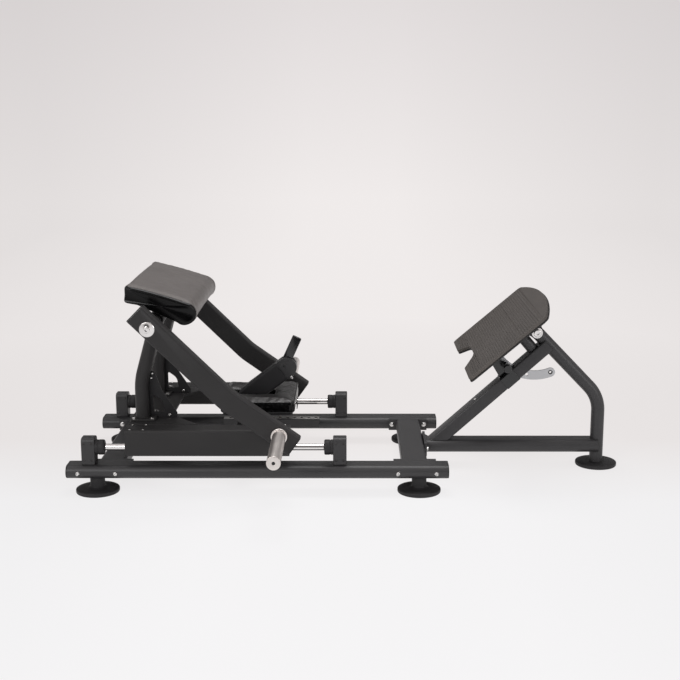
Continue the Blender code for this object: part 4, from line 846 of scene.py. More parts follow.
class Row:
    """Repeats a piece, or a cutter in a piece, in a row of equal steps."""

    def __init__(self, cuts: bool = False) -> None:
        """Write the tree once, for copies or for cuts."""
        tree = GeometryTree(
            "row_of_cuts" if cuts else "row_of_copies", Tool="Object", Count="Int", Step="Vector")
        line = tree.out("GeometryNodeMeshLine",
                        {"Count": tree.size("Count"), "Offset": tree.size("Step")}, mode="OFFSET")
        piece = tree.size("Geometry")
        if cuts:
            piece = tree.out("GeometryNodeObjectInfo", {"Object": tree.size("Tool")}, "Geometry")
        row = tree.out("GeometryNodeInstanceOnPoints", {"Points": line, "Instance": piece})
        if cuts:
            real = tree.out("GeometryNodeRealizeInstances", {"Geometry": row})
            row = tree.out(
                "GeometryNodeMeshBoolean", {"Mesh 1": tree.size("Geometry"), "Mesh 2": real},
                operation="DIFFERENCE", solver="EXACT")
        self.tree = tree.closed(row)

    def copy(self, obj: Object, count: int, step: Vector, finish: Finish) -> Object:
        """Turn an object into a row of itself."""
        return self.tree.applied(obj, Count=count, Step=step, Material=finish.material())

    def cut(self, obj: Object, tool: Object, count: int, step: Vector, finish: Finish) -> Object:
        """Cut a row out of an object and drop the cutter."""
        self.tree.applied(obj, Tool=tool, Count=count, Step=step, Material=finish.material())
        discarded(tool)
        return smoothed(obj)


class Head(Enum):
    """Kinds of screw heads."""

    BUTTON = "button"
    HEX = "hex"
    SMALL = "small"


@dataclass(frozen=True)
class Screw:
    """One screw head: its seat, the way it faces and its radius."""

    seat: Vector
    facing: Vector
    radius: float
    head: Head = Head.BUTTON


class Screws:
    """Sets screw heads on points by Geometry Nodes."""

    def __init__(self) -> None:
        """Write the tree once."""
        tree = GeometryTree("screw_heads", Head="Object")
        facing = tree.out("GeometryNodeInputNamedAttribute", {"Name": "facing"}, "Attribute",
                          data_type="FLOAT_VECTOR")
        radius = tree.out("GeometryNodeInputNamedAttribute", {"Name": "head_size"},
                          "Attribute", data_type="FLOAT")
        turn = tree.out("FunctionNodeAlignRotationToVector", {"Vector": facing}, axis="Z")
        spots = tree.out(
            "GeometryNodeMeshToPoints", {"Mesh": tree.size("Geometry")}, mode="VERTICES")
        head = tree.out("GeometryNodeObjectInfo", {"Object": tree.size("Head")}, "Geometry")
        heads = tree.out(
            "GeometryNodeInstanceOnPoints",
            {"Points": spots, "Instance": head, "Rotation": turn, "Scale": radius})
        self.tree = tree.closed(heads)

    @staticmethod
    def head(kind: Head) -> Object:
        """Build a screw head of radius one that stands on the origin."""
        if kind is Head.HEX:
            obj = lathed(
                "hex_head", Vector(), Z_AXIS,
                [(0, 0, 0), (1.0, 0, 0.05), (1.0, 0.14, 0.06), (0.0, 0.16, 0)], 3, 32)
            nut = slab(
                "hex_nut", circle(0.74, 6), at(0, 0, 0.12), X_AXIS, Y_AXIS, Z_AXIS * 0.52, 0.05)
            return combined(obj, nut, Cut.JOIN)
        rise = 0.62 if kind is Head.BUTTON else 0.40
        obj = lathed(
            f"{kind.value}_head", Vector(), Z_AXIS,
            [(0, 0, 0), (1.0, 0, 0), (1.0, rise * 0.35, 0.10), (0.66, rise, 0.30), (0, rise, 0)],
            5, 28)
        key = slab("key", circle(0.42, 6), at(0, 0, rise * 0.35), X_AXIS, Y_AXIS, Z_AXIS * rise)
        return combined(obj, key)

    def set_heads(self, name: str, screws: Sequence[Screw], finish: Finish) -> Object:
        """Build one mesh with a head of the same kind on every screw's seat.

        Args:
            name: Name of the piece.
            screws: The screws, all with one kind of head.
            finish: Finish of the heads.

        Returns:
            The new object.
        """
        obj = traced(name, [screw.seat for screw in screws])
        facings = obj.data.attributes.new("facing", "FLOAT_VECTOR", "POINT")
        for item, screw in zip(facings.data, screws):
            item.vector = screw.facing
        sizes = obj.data.attributes.new("head_size", "FLOAT", "POINT")
        for item, screw in zip(sizes.data, screws):
            item.value = screw.radius
        head = self.head(screws[0].head)
        self.tree.applied(obj, Head=head, Material=finish.material())
        discarded(head)
        return smoothed(obj)


class Assembly:
    """Base of the sub-assemblies: dresses pieces and counts them."""

    body: ClassVar[Body] = Body.BASE
    pieces: ClassVar[int] = 0

    def dress(self, obj: Object, finish: Finish, *nodes: str, body: Body | None = None) -> Object:
        """Give a piece its finish and body, and the CAD nodes it stands for.

        Args:
            obj: The finished piece.
            finish: Its finish.
            *nodes: The CAD nodes that it replaces.
            body: The CAD body that it rides on, if not the sub-assembly's own.

        Returns:
            The same object.
        """
        body = body or self.body
        obj.data.materials.clear()
        obj.data.materials.append(finish.material())
        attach(obj, body.value)
        if nodes:
            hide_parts(*nodes)
        Assembly.pieces += 1
        LOG.info("%s: %d faces on %s", obj.name, len(obj.data.polygons), body.value)
        return obj

    def two_tone(self, obj: Object, finish: Finish,
                 chosen: Callable[[bpy.types.MeshPolygon], bool]) -> None:
        """Give the chosen faces of a dressed piece a second finish."""
        obj.data.materials.append(finish.material())
        for face in obj.data.polygons:
            face.material_index = int(chosen(face))

    def carry(self, node: str, finish: Finish, width: float = 0.001) -> Object:
        """Show a refined copy of a CAD node in its place."""
        return self.dress(refined(node, width), finish, node)

    def build(self) -> None:
        """Build every piece of the sub-assembly."""
        raise NotImplementedError


@dataclass
class FloorFrame(Assembly):
    """The two floor rails, their feet, cross members and guide rods."""

    rail_width: float = 0.100
    rail_height: float = 0.050
    wall: float = 0.003
    cap: float = 0.004
    cap_round: float = 0.0018
    foot_disc: float = 0.016
    foot_edge: float = 0.0035
    hub_radius: float = 0.0275
    hub_top: float = 0.0597
    stand_hub_radius: float = 0.0227
    stud_radius: float = 0.006
    bumper_radius: float = 0.0285
    bumper_length: float = 0.033
    block_length: float = 0.050
    block_width: float = 0.058
    rod_rise: float = 0.062
    hole_pitch: float = 0.030
    hole_radius: float = 0.0065
    bar_margin: float = 0.028
    cutter: Row = field(default_factory=lambda: Row(cuts=True))

    def build(self) -> None:
        """Build the floor frame."""
        for side in Side:
            self.rail(side)
            for end in End:
                self.foot(f"foot_{end.label}_{side.label}")
                self.rod_block(end, side)
            self.guide_rod(side)
        self.foot("foot_stand")
        for end in End:
            self.carry(f"{end.label}_cross_member", FRAME_COAT, 0.0012)
        self.index_bar()

    def section(self, spare: float = 0.0) -> Loop:
        """Return the flat-oval section of the rails."""
        height = self.rail_height + 2 * spare
        return round_box(self.rail_width + 2 * spare, height, height / 2 - 1e-5, 14)

    def rail(self, side: Side) -> None:
        """Build one rail tube with a plastic cap in each end."""
        node = f"rail_{side.label}"
        low, high, middle = spanned(node)
        tube = swept(
            f"{node}_tube", lengthwise(node, self.cap), self.section(), self.section(-self.wall))
        softened(tube, 0.0007, 2)
        for end, x in ((End.REAR, low.x), (End.FRONT, high.x)):
            foot_low, foot_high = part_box(f"foot_{end.label}_{side.label}")
            spot = at((foot_low.x + foot_high.x) / 2, middle.y, low.z)
            combined(tube, rod("stud_hole", spot - Z_AXIS * 0.01, spot + Z_AXIS * 0.006,
                               self.stud_radius + 0.0005, facets=24))
            cap = slab(f"{node}_cap_{end.label}", self.section(-0.0003), at(x, middle.y, middle.z),
                       Y_AXIS, Z_AXIS, X_AXIS * -end.value * (self.cap - 0.0003), self.cap_round)
            self.dress(cap, CAP_PLASTIC)
        self.dress(tube, FRAME_COAT, node)

    def foot(self, node: str) -> None:
        """Build a moulded levelling foot with a stepped disc."""
        low, high, middle = spanned(node)
        radius, disc, edge = (high.x - low.x) / 2, self.foot_disc, self.foot_edge
        corners = [(0, 0, 0), (radius - edge * 0.5, 0, edge * 0.4), (radius, edge, edge * 0.5),
                   (radius, disc - edge * 0.6, edge), (radius - 0.020, disc + 0.0004, 0.004)]
        if node == "foot_stand":
            hub = self.stand_hub_radius
            corners += [(hub, disc, 0), (hub, high.z, 0.001), (0, high.z, 0)]
        else:
            hub, top = self.hub_radius, self.hub_top
            corners += [
                (hub + 0.010, disc + 0.001, 0.004), (hub, disc + 0.006, 0.002), (hub, top, 0.0015),
                (self.stud_radius, top, 0), (self.stud_radius, high.z, 0.0008), (0, high.z, 0)]
        self.dress(lathed(f"{node}_disc", at(middle.x, middle.y, 0), Z_AXIS, corners, 4, 96),
                   FOOT_RUBBER, node)

    def rod_block(self, end: End, side: Side) -> None:
        """Build a rod block with its rounded crown and rubber bumper."""
        node = f"rod_block_{end.label}_{side.label}"
        low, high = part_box(node)
        out = X_AXIS * -end.value
        outer_x = low.x if end is End.REAR else high.x
        inner_x = outer_x - end.value * self.block_length
        y, half = (low.y + high.y) / 2, self.block_width / 2
        start, stop = min(outer_x, inner_x), max(outer_x, inner_x)
        rise = high.z - low.z
        loop = filleted([
            (-half, 0, 0), (half, 0, 0), (half, rise, 0.016), (-half, rise, 0.016)], 8)
        body = slab(f"{node}_body", loop, at(start, y, low.z), Y_AXIS, Z_AXIS,
                    X_AXIS * (stop - start), 0.0035)
        centre = at(inner_x, y, low.z - 0.0003 + self.rod_rise)
        bore, radius, length = 0.0130, self.bumper_radius, self.bumper_length
        combined(body, rod("rod_seat", centre - out * 0.044, centre + out * 0.02, bore, facets=48))
        self.dress(body, BLACK_PLASTIC, node)
        profile = filleted([
            (bore, 0, 0), (radius, 0, 0), (radius, 0.008, 0.0015), (radius - 0.0015, 0.0095, 0),
            (radius - 0.0015, 0.0115, 0), (radius, 0.013, 0.0015), (radius, length, 0.005),
            (0.0165, length, 0.002), (bore, length - 0.003, 0)], 4)
        bumper = turned(f"{node}_bumper", centre + out * 0.0001, out,
                        [(r, min(h, length - 0.0002)) for r, h in profile], 64)
        self.dress(bumper, FOOT_RUBBER)

    def guide_rod(self, side: Side) -> None:
        """Build a polished guide rod."""
        node = f"guide_rod_{side.label}"
        self.dress(rod(f"{node}_bar", *lengthwise(node), 0.0125, 0.001, 72), CHROME, node)

    def index_bar(self) -> None:
        """Build the square bar and drill its row of lock holes."""
        low, high, middle = spanned("index_bar")
        count = round((high.x - low.x - 1.5 * self.bar_margin) / self.hole_pitch) + 1
        size = high.y - low.y
        bar = swept("index_bar_tube", lengthwise("index_bar"), round_box(size, size, 0.004, 4),
                    round_box(size - 0.006, size - 0.006, 0.002, 4))
        start = low.x + self.bar_margin
        drill = rod("drill", at(start, middle.y, middle.z), at(start, middle.y, high.z + 0.01),
                    self.hole_radius, facets=32)
        self.cutter.cut(bar, drill, count, X_AXIS * self.hole_pitch, FRAME_COAT)
        softened(bar, 0.0006, 2)
        self.dress(bar, FRAME_COAT, "index_bar")
        # Painted reflection: only the faces that point up get the bright steel finish.
        self.two_tone(
            bar, BAR_TOP_REFLECTION, lambda face: face.normal.z > 0.9 and face.center.z > high.z - 0.0005)


@dataclass
class FootStand(Assembly):
    """The front stand: base tube, incline, bent post, stop and pin housing."""

    post_x: float = 0.979
    post_radius: float = 0.026
    post_lean: float = 46.0
    post_bend: float = 0.140
    boss_radius: float = 0.026
    boss_length: float = 0.070
    wall: float = 0.003
    incline_slope: float = 42.1
    incline_foot: Vector = field(default_factory=lambda: at(0.3475, 0, 0.110))
    breadth: float = 0.070
    depth: float = 0.050
    slot_gap: float = 0.0012
    quadrant: Triple = (0.160, 0.197, 0.006)

    def build(self) -> None:
        """Build the stand."""
        self.flange()
        self.base_tube()
        self.post()
        self.incline()
        self.carry("plate_stop", FRAME_COAT, 0.0008)
        self.carry("plate_stop_rubber", FOOT_RUBBER, 0.0015)
        self.carry("pin_housing", GLOSS_BLACK, 0.0015)

    def flange(self) -> None:
        """Build the plate that bolts the stand to the cross member."""
        low, high, middle = spanned("stand_flange")
        loop = round_box(high.y - low.y, high.z - low.z, 0.008, 6)
        plate = slab("stand_flange_plate", loop, at(low.x, middle.y, middle.z), Y_AXIS, Z_AXIS,
                     X_AXIS * (high.x - low.x), 0.0012)
        self.dress(plate, FRAME_COAT, "stand_flange")

    def base_tube(self) -> None:
        """Build the flat-oval base tube, coped round the post."""
        low, high, middle = spanned("stand_base_tube")
        width, height = high.y - low.y, high.z - low.z
        outer = round_box(width, height, height / 2 - 1e-5, 14)
        bore = round_box(
            width - 2 * self.wall, height - 2 * self.wall, height / 2 - self.wall - 1e-5, 14)
        tube = swept(
            "stand_base", [at(low.x, 0, middle.z), at(self.post_x, 0, middle.z)], outer, bore)
        combined(tube, rod("cope", at(self.post_x, 0, low.z - 0.02), at(
            self.post_x, 0, high.z + 0.02), self.post_radius + 0.0003, facets=72))
        self.dress(tube, FRAME_COAT, "stand_base_tube")

    def post(self) -> None:
        """Build the round post on its bent centre line, with its boss and bore."""
        knee_z = PIVOT.z - (self.post_x - PIVOT.x) * tan(radians(self.post_lean))
        low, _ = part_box("stand_post_tube")
        path = bent_path([
            at(self.post_x, 0, low.z), at(self.post_x, 0, knee_z), PIVOT], self.post_bend, 24)
        post = swept("stand_post", path, circle(self.post_radius, 64))
        half = Y_AXIS * self.boss_length / 2
        boss = rod("boss", PIVOT - half, PIVOT + half, self.boss_radius, 0.001, 72)
        combined(post, boss, Cut.JOIN)
        combined(post, rod("core", path[0] - Z_AXIS * 0.01, path[0] + Z_AXIS * 0.05,
                           self.post_radius - self.wall))
        bored(post, PIVOT, half * 1.5, 0.0085, 48)
        self.dress(post, FRAME_COAT, "stand_post_tube")

    def slot_tool(self) -> Object:
        """Return the cutter that clears the quadrant all along its swing."""
        inner, outer, thick = self.quadrant
        half = thick / 2 + self.slot_gap
        loop = (swing(outer + self.slot_gap, -95, 32, 60)
                + swing(inner - self.slot_gap, 32, -95, 60))
        return slab("slot_tool", loop, PIVOT - Y_AXIS * half, X_AXIS, Z_AXIS, Y_AXIS * half * 2)

    def incline(self) -> None:
        """Build the slotted box tube between the base tube and the post."""
        along, lean = slope(self.incline_slope), slope(-self.post_lean)
        across = above(lean)
        foot = self.incline_foot
        meet = foot + along * ((PIVOT - foot).dot(across) / along.dot(across))
        tube = swept(
            "stand_incline", [foot - along * self.depth, meet],
            round_box(self.breadth, self.depth, 0.006, 5),
            round_box(self.breadth - 2 * self.wall, self.depth - 2 * self.wall, 0.003, 5))
        combined(
            tube, block("trim", at(foot.x - 0.2, -0.1, 0), at(foot.x + 0.2, 0.1, foot.z + 0.0003)))
        bored(tube, meet, lean * 0.1, self.post_radius + 0.0003, 72)
        combined(tube, self.slot_tool())
        self.dress(tube, FRAME_COAT, "stand_incline_tube")


@dataclass
class FootPlate(Assembly):
    """The indexed foot plate with its ribbed mat and quadrant."""

    body: ClassVar[Body] = Body.FOOT_PLATE
    tilt: float = 40.5
    from_toe: float = 0.298
    drop: float = 0.103
    half_width: float = 0.336
    side: float = 0.362
    crown: float = 0.052
    corner: float = 0.028
    toe_corner: float = 0.016
    notch_corner: float = 0.100
    notch: Triple = (0.155, 0.078, 0.057)
    thick: float = 0.006
    mat_thick: float = 0.012
    mat_inset: float = 0.002
    rib_pitch: float = 0.010
    groove: float = 0.0022
    groove_depth: float = 0.0007
    rim: float = 0.013
    quadrant_radii: tuple[float, float] = (0.160, 0.197)
    quadrant_thick: float = 0.006
    index_radius: float = 0.178
    index_hole: float = 0.0055
    index_rest: float = -40.2
    index_pitch: float = 30.5
    rows: Row = field(default_factory=Row)

    def build(self) -> None:
        """Build the foot plate."""
        self.along = slope(self.tilt)
        self.up = above(self.along)
        self.toe = PIVOT - self.along * self.from_toe + self.up * self.drop
        self.plate()
        self.mat()
        self.carry("plate_ears", PLATE_SHADE_COAT, 0.0012)
        self.quadrant()
        self.pivot_bolt()
        self.pin()

    def outline(self, inset: float = 0.0) -> Loop:
        """Return the plate's outline from its toe edge, notched and crowned."""
        half = self.half_width - inset
        mouth, floor, depth = self.notch
        mouth, floor = mouth + inset, floor + inset
        radius = (self.crown ** 2 + self.half_width ** 2) / (2 * self.crown)
        centre = self.side + self.crown - radius
        arc = []
        for step in range(33):
            y = half * 0.82 * (1 - step / 16)
            arc.append((centre + sqrt((radius - inset) ** 2 - y ** 2), y, 0.0))
        corner = self.corner - inset
        toe, hollow = self.toe_corner, self.notch_corner
        return filleted([
            (inset, -half, toe), (inset, -mouth, toe), (depth + inset, -floor, hollow),
            (depth + inset, floor, hollow), (inset, mouth, toe), (inset, half, toe),
            (self.side - inset / 2, half, corner), *arc,
            (self.side - inset / 2, -half, corner)], 12)

    def plate(self) -> None:
        """Build the steel plate under the mat."""
        under = self.toe - self.up * (self.mat_thick + self.thick)
        plate = slab("foot_plate_sheet", self.outline(), under, self.along, Y_AXIS,
                     self.up * (self.thick - 0.0003), 0.0015)
        self.dress(plate, PLATE_SHADE_COAT, "foot_plate")

    def mat(self) -> None:
        """Build the rubber mat and cut its cross ribs."""
        mat = slab(
            "foot_mat_ribbed", self.outline(self.mat_inset), self.toe - self.up * self.mat_thick,
            self.along, Y_AXIS, self.up * self.mat_thick)
        softened(mat, 0.0022, 4)
        wide = self.half_width * 2.2
        loop = [(0, -self.groove_depth), (self.groove, -self.groove_depth),
                (self.groove + 0.0006, 0.004), (-0.0006, 0.004)]
        comb = slab(
            "groove_comb", loop, self.toe + self.along * self.rib_pitch - Y_AXIS * wide / 2,
            self.along, self.up, Y_AXIS * wide)
        count = int((self.side - self.rib_pitch) / self.rib_pitch)
        self.rows.copy(comb, count, self.along * self.rib_pitch, FOOT_MAT)
        inner = slab("inner", self.outline(self.rim), self.toe - self.up * 0.01, self.along,
                     Y_AXIS, self.up * 0.02)
        combined(comb, inner, Cut.COMMON)
        combined(mat, comb)
        self.dress(mat, FOOT_MAT, "foot_mat")

    def quadrant(self) -> None:
        """Build the bright indexing quadrant with its three holes."""
        inner, outer = self.quadrant_radii
        depth = self.drop - self.mat_thick - self.thick - 0.0003
        first = {r: self.tilt - to_degrees(acos(-depth / r)) for r in (inner, outer)}
        tail = self.index_rest + 2 * self.index_pitch
        loop = swing(outer, first[outer], tail)
        middle, half = (inner + outer) / 2, (outer - inner) / 2
        end = radians(tail)
        centre = Vector((middle * sin(end), -middle * cos(end)))
        for step in range(1, 20):
            angle = end - pi / 2 + pi * step / 20
            loop.append((centre.x + half * cos(angle), centre.y + half * sin(angle)))
        loop += swing(inner, tail, first[inner])
        arc = slab("quadrant_arc", loop, PIVOT - Y_AXIS * self.quadrant_thick / 2, X_AXIS, Z_AXIS,
                   Y_AXIS * self.quadrant_thick)
        for index in range(3):
            angle = radians(self.index_rest + self.index_pitch * index)
            spot = PIVOT + at(sin(angle), 0, -cos(angle)) * self.index_radius
            bored(arc, spot, Y_AXIS * 0.02, self.index_hole, 32)
        softened(arc, 0.0007, 2)
        self.dress(arc, SILVER_STEEL, "quadrant")
        hole, half = self.index_hole, self.quadrant_thick / 2
        ring = filleted([
            (hole - 0.0007, -half, 0), (hole + 0.003, -half - 0.0002, 0),
            (hole + 0.003, -half - 0.0012, 0.0006), (hole - 0.0007, -half - 0.0014, 0.0006)], 3)
        ring += [(r, -h) for r, h in reversed(ring)]
        bush = turned("quadrant_bush", spot, Y_AXIS, ring, 40)
        self.dress(bush, CAP_PLASTIC)

    def pivot_bolt(self) -> None:
        """Build the pivot bolt with a washer and head on each side."""
        low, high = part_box("pivot_bolt")
        face = high.y - 0.004
        bolt = lathed("pivot_bolt_turned", PIVOT, Y_AXIS, [
            (0, low.y, 0), (0.0135, low.y, 0.002), (0.015, low.y + 0.003, 0.001),
            (0.015, -face - 0.004, 0), (0.0215, -face - 0.004, 0.001), (0.0215, -face, 0.0005),
            (0.008, -face, 0), (0.008, face, 0), (0.024, face, 0.0005),
            (0.024, high.y, 0.001), (0, high.y, 0)], 4, 72)
        key = slab("key", circle(0.0065, 6), PIVOT + Y_AXIS * (low.y - 0.002), X_AXIS, Z_AXIS,
                   Y_AXIS * 0.008)
        combined(bolt, key)
        self.dress(bolt, CHROME, "pivot_bolt")

    def pin(self) -> None:
        """Build the spring pin with its grooved knob."""
        low, high, middle = spanned("foot_pin")
        knob, radius = low.y + 0.024, 0.0175
        corners = [(0, high.y, 0), (0.0042, high.y, 0), (0.005, high.y - 0.0012, 0),
                   (0.005, knob, 0), (0.0155, knob, 0.0015), (radius, knob - 0.003, 0.001)]
        for step in range(4):
            base = knob - 0.006 - step * 0.0035
            corners += [(radius, base, 0.0004), (0.0168, base - 0.0008, 0),
                        (radius, base - 0.0016, 0.0004)]
        corners += [(radius, low.y + 0.003, 0.002), (0.0135, low.y, 0.003), (0, low.y, 0)]
        pin = lathed("foot_pin_knob", at(middle.x, 0, middle.z), Y_AXIS, corners, 3, 56)
        self.dress(pin, GLOSS_BLACK, "foot_pin", body=Body.FOOT_PIN)


@dataclass
class Carriage(Assembly):
    """The sliding carriage with its covers, posts, boom and lock."""

    body: ClassVar[Body] = Body.CARRIAGE
    cover_width: float = 0.086
    skin: float = 0.003
    outer_skirt: float = 0.098
    inner_skirt: float = 0.073
    corner: float = 0.010
    rod_radius: float = 0.0125
    post_x: float = -0.796
    post_y: float = 0.190
    post_knee: float = 0.400
    post_bend: float = 0.260
    post_size: tuple[float, float] = (0.100, 0.050)
    boss_radius: float = 0.028
    wall: float = 0.003
    deck_bay: float = 0.113
    deck_bay_half: float = 0.158
    boom_size: Triple = (0.050, 0.080, 0.010)
    boom_slope: float = 37.2
    boom_x: float = -0.418
    boom_foot: float = 0.2053
    boom_rise: float = 0.0742
    boom_reach: float = 0.1625
    boom_bend: float = 0.046
    head_overlap: float = 0.026
    head_inset: float = 0.0006
    head_soft: float = 0.0014
    slot_space: float = 0.002
    lever_pin: Triple = (0.0036, 0.0109, 0.004)
    lever_lean: float = 24.5
    lever_size: Triple = (0.018, 0.0372, 0.123)

    def build(self) -> None:
        """Build the carriage."""
        for side in Side:
            self.cover(side)
            self.post(side)
            self.carry(f"post_gusset_{side.label}", CARRIAGE_SHADE_COAT)
            for end in End:
                self.carry(f"rod_bearing_{end.label}_{side.label}", BLACK_PLASTIC)
        self.deck()
        self.cross_tube()
        self.boom()
        self.head()
        self.lever()
        self.lock()

    def cover(self, side: Side) -> None:
        """Build a folded bearing cover with its end plates."""
        node = f"carriage_cover_{side.label}"
        low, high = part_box(node)
        outer = self.cover_width / 2
        inner, bend, lap = outer - self.skin, self.corner - self.skin, self.skin / 2
        profile = filleted([
            (outer, -self.outer_skirt, 0), (outer, 0, self.corner), (-outer, 0, self.corner),
            (-outer, -self.inner_skirt, 0), (-inner, -self.inner_skirt, 0),
            (-inner, -self.skin, bend), (inner, -self.skin, bend),
            (inner, -self.outer_skirt, 0)], 8)
        y = side.value * (abs(low.y + high.y) / 2)
        cover = slab(f"{node}_folded", profile, at(low.x, y, high.z), side.out, Z_AXIS,
                     X_AXIS * (high.x - low.x))
        rod_low, rod_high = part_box(f"guide_rod_{side.label}")
        rod_z = (rod_low.z + rod_high.z) / 2
        for x, inward in ((low.x, 1), (high.x, -1)):
            start, stop = sorted((x, x + inward * self.skin))
            end = block("cover_end", at(start, y - outer + lap, low.z),
                        at(stop, y + outer - lap, high.z - lap))
            combined(cover, end, Cut.JOIN)
            bored(cover, at(x, y, rod_z), X_AXIS * 0.02, self.rod_radius + 0.003, 48)
        softened(cover, 0.0007, 2)
        self.dress(cover, PLATE_SHADE_COAT, node)

    def post(self, side: Side) -> None:
        """Build a bent pad post with its boss and base plate."""
        node = f"pad_post_{side.label}"
        low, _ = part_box(node)
        y = side.value * self.post_y
        breadth, depth = self.post_size
        spot = at(AXLE.x, y, AXLE.z)
        path = bent_path([at(self.post_x, y, low.z), at(self.post_x, y, self.post_knee), spot],
                         self.post_bend, 14)
        post = swept(f"{node}_tube", path, round_box(breadth, depth, depth / 2 - 1e-5, 12))
        half = Y_AXIS * breadth / 2
        combined(
            post, rod("boss", spot - half, spot + half, self.boss_radius, 0.001, 72), Cut.JOIN)
        plate = slab("base_plate", round_box(0.094, 0.130, 0.006, 5),
                     at(self.post_x + 0.007, y, low.z), X_AXIS, Y_AXIS, Z_AXIS * 0.008, 0.001)
        combined(post, plate, Cut.JOIN)
        bored(post, spot, half * 1.5, 0.018)
        self.dress(post, PLATE_SHADE_COAT, node)

    def deck(self) -> None:
        """Build the flat deck that carries the posts."""
        low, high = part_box("carriage_deck")
        half = high.y
        bay = high.x - self.deck_bay
        loop = filleted([
            (low.x, -half, 0), (high.x, -half, 0), (bay, -self.deck_bay_half, 0.02),
            (bay, self.deck_bay_half, 0.02), (high.x, half, 0), (low.x, half, 0)], 8)
        deck = slab("carriage_deck_plate", loop, at(0, 0, low.z), X_AXIS, Y_AXIS,
                    Z_AXIS * (high.z - low.z), 0.0012)
        self.dress(deck, PLATE_SHADE_COAT, "carriage_deck")

    def cross_tube(self) -> None:
        """Build the cross tube under the boom."""
        low, high, middle = spanned("carriage_cross_tube")
        width, height = high.x - low.x, high.z - low.z
        tube = swept(
            "carriage_cross", [at(middle.x, low.y, middle.z), at(middle.x, high.y, middle.z)],
            round_box(width, height, 0.012, 8),
            round_box(width - 2 * self.wall, height - 2 * self.wall, 0.009, 8), X_AXIS)
        softened(tube, 0.0006, 2)
        self.dress(tube, CARRIAGE_SHADE_COAT, "carriage_cross_tube")

    def boom_frame(self) -> tuple[Vector, Vector, Vector, Vector]:
        """Return the boom's direction, upper normal, corner and end point."""
        along = slope(self.boom_slope)
        corner = at(self.boom_x, 0, self.boom_foot + self.boom_rise)
        return along, above(along), corner, corner + along * (self.boom_reach / along.x)

    def lever_centre(self) -> Vector:
        """Return the point that the release lever turns about."""
        along, up, _, end = self.boom_frame()
        return end - along * self.lever_pin[0] + up * self.lever_pin[1]

    def boom(self) -> None:
        """Build the bent box tube that carries the release lever."""
        along, _, corner, end = self.boom_frame()
        breadth, depth, radius = self.boom_size
        path = bent_path([
            at(self.boom_x, 0, self.boom_foot), corner, end - along * self.head_overlap],
            self.boom_bend, 24)
        boom = swept("boom_tube", path, round_box(breadth, depth, radius, 10))
        softened(boom, 0.0008, 2, 60.0)
        self.dress(boom, CARRIAGE_SHADE_COAT, "boom")

    def head(self) -> None:
        """Build the round forked head that plugs the boom's upper end."""
        along, up, _, end = self.boom_frame()
        breadth, depth, _ = self.boom_size
        half, radius = breadth / 2 - self.head_inset, depth / 2 - self.head_inset
        foot = -self.head_overlap + 0.0003
        loop = [(foot, -radius)]
        for step in range(41):
            angle = pi * (step / 40 - 0.5)
            loop.append((radius * cos(angle), radius * sin(angle)))
        loop.append((foot, radius))
        head = slab("lever_head", loop, end - Y_AXIS * half, along, up, Y_AXIS * 2 * half)
        lever_breadth, lever_depth, _ = self.lever_size
        gap = lever_breadth / 2 + 0.0005
        floor = self.lever_pin[1] - lever_depth / 2 - self.slot_space
        slot = [(foot + 0.003, floor), (depth, floor), (depth, depth), (foot + 0.003, depth)]
        combined(head, slab("slot", slot, end - Y_AXIS * gap, along, up, Y_AXIS * 2 * gap))
        softened(head, self.head_soft, 4)
        bored(head, self.lever_centre(), Y_AXIS * breadth, self.lever_pin[2] + 0.0005, 40)
        self.dress(head, HEAD_PLASTIC, "lever_bracket")

    def lever(self) -> None:
        """Build the straight release lever, round about its pivot pin."""
        centre = self.lever_centre()
        breadth, depth, length = self.lever_size
        tall = above(slope(-self.lever_lean))
        side = at(tall.z, 0, -tall.x)
        wide = depth / 2
        blade = [(wide * cos(pi * (1 + step / 24)), wide * sin(pi * (1 + step / 24)))
                 for step in range(25)]
        blade += filleted([
            (wide, 0, 0), (wide, length, 0.004), (-wide, length, 0.004), (-wide, 0, 0)], 6)[1:-1]
        lever = slab("release_lever_grip", blade, centre - Y_AXIS * breadth / 2, side, tall,
                     Y_AXIS * breadth, 0.002)
        reach = Y_AXIS * (self.boom_size[0] / 2 - self.head_inset + 0.0005)
        combined(
            lever, rod("pivot_pin", centre - reach, centre + reach, self.lever_pin[2], 0.0004, 40),
            Cut.JOIN)
        self.dress(lever, GLOSS_BLACK, "release_lever", body=Body.RELEASE_LEVER)

    def lock(self) -> None:
        """Build the lock housing and its drop pin."""
        self.carry("lock_housing", GLOSS_BLACK, 0.0012)
        low, high, middle = spanned("lock_pin")
        knob = high.z - 0.008
        pin = lathed("lock_pin_turned", at(middle.x, middle.y, 0), Z_AXIS, [
            (0, low.z, 0), (0.0045, low.z, 0), (0.0055, low.z + 0.0015, 0), (0.0055, knob, 0),
            (0.011, knob, 0.0008), (0.011, high.z, 0.002), (0, high.z, 0)], 4, 48)
        self.dress(pin, CHROME, "lock_pin", body=Body.LOCK_PIN)


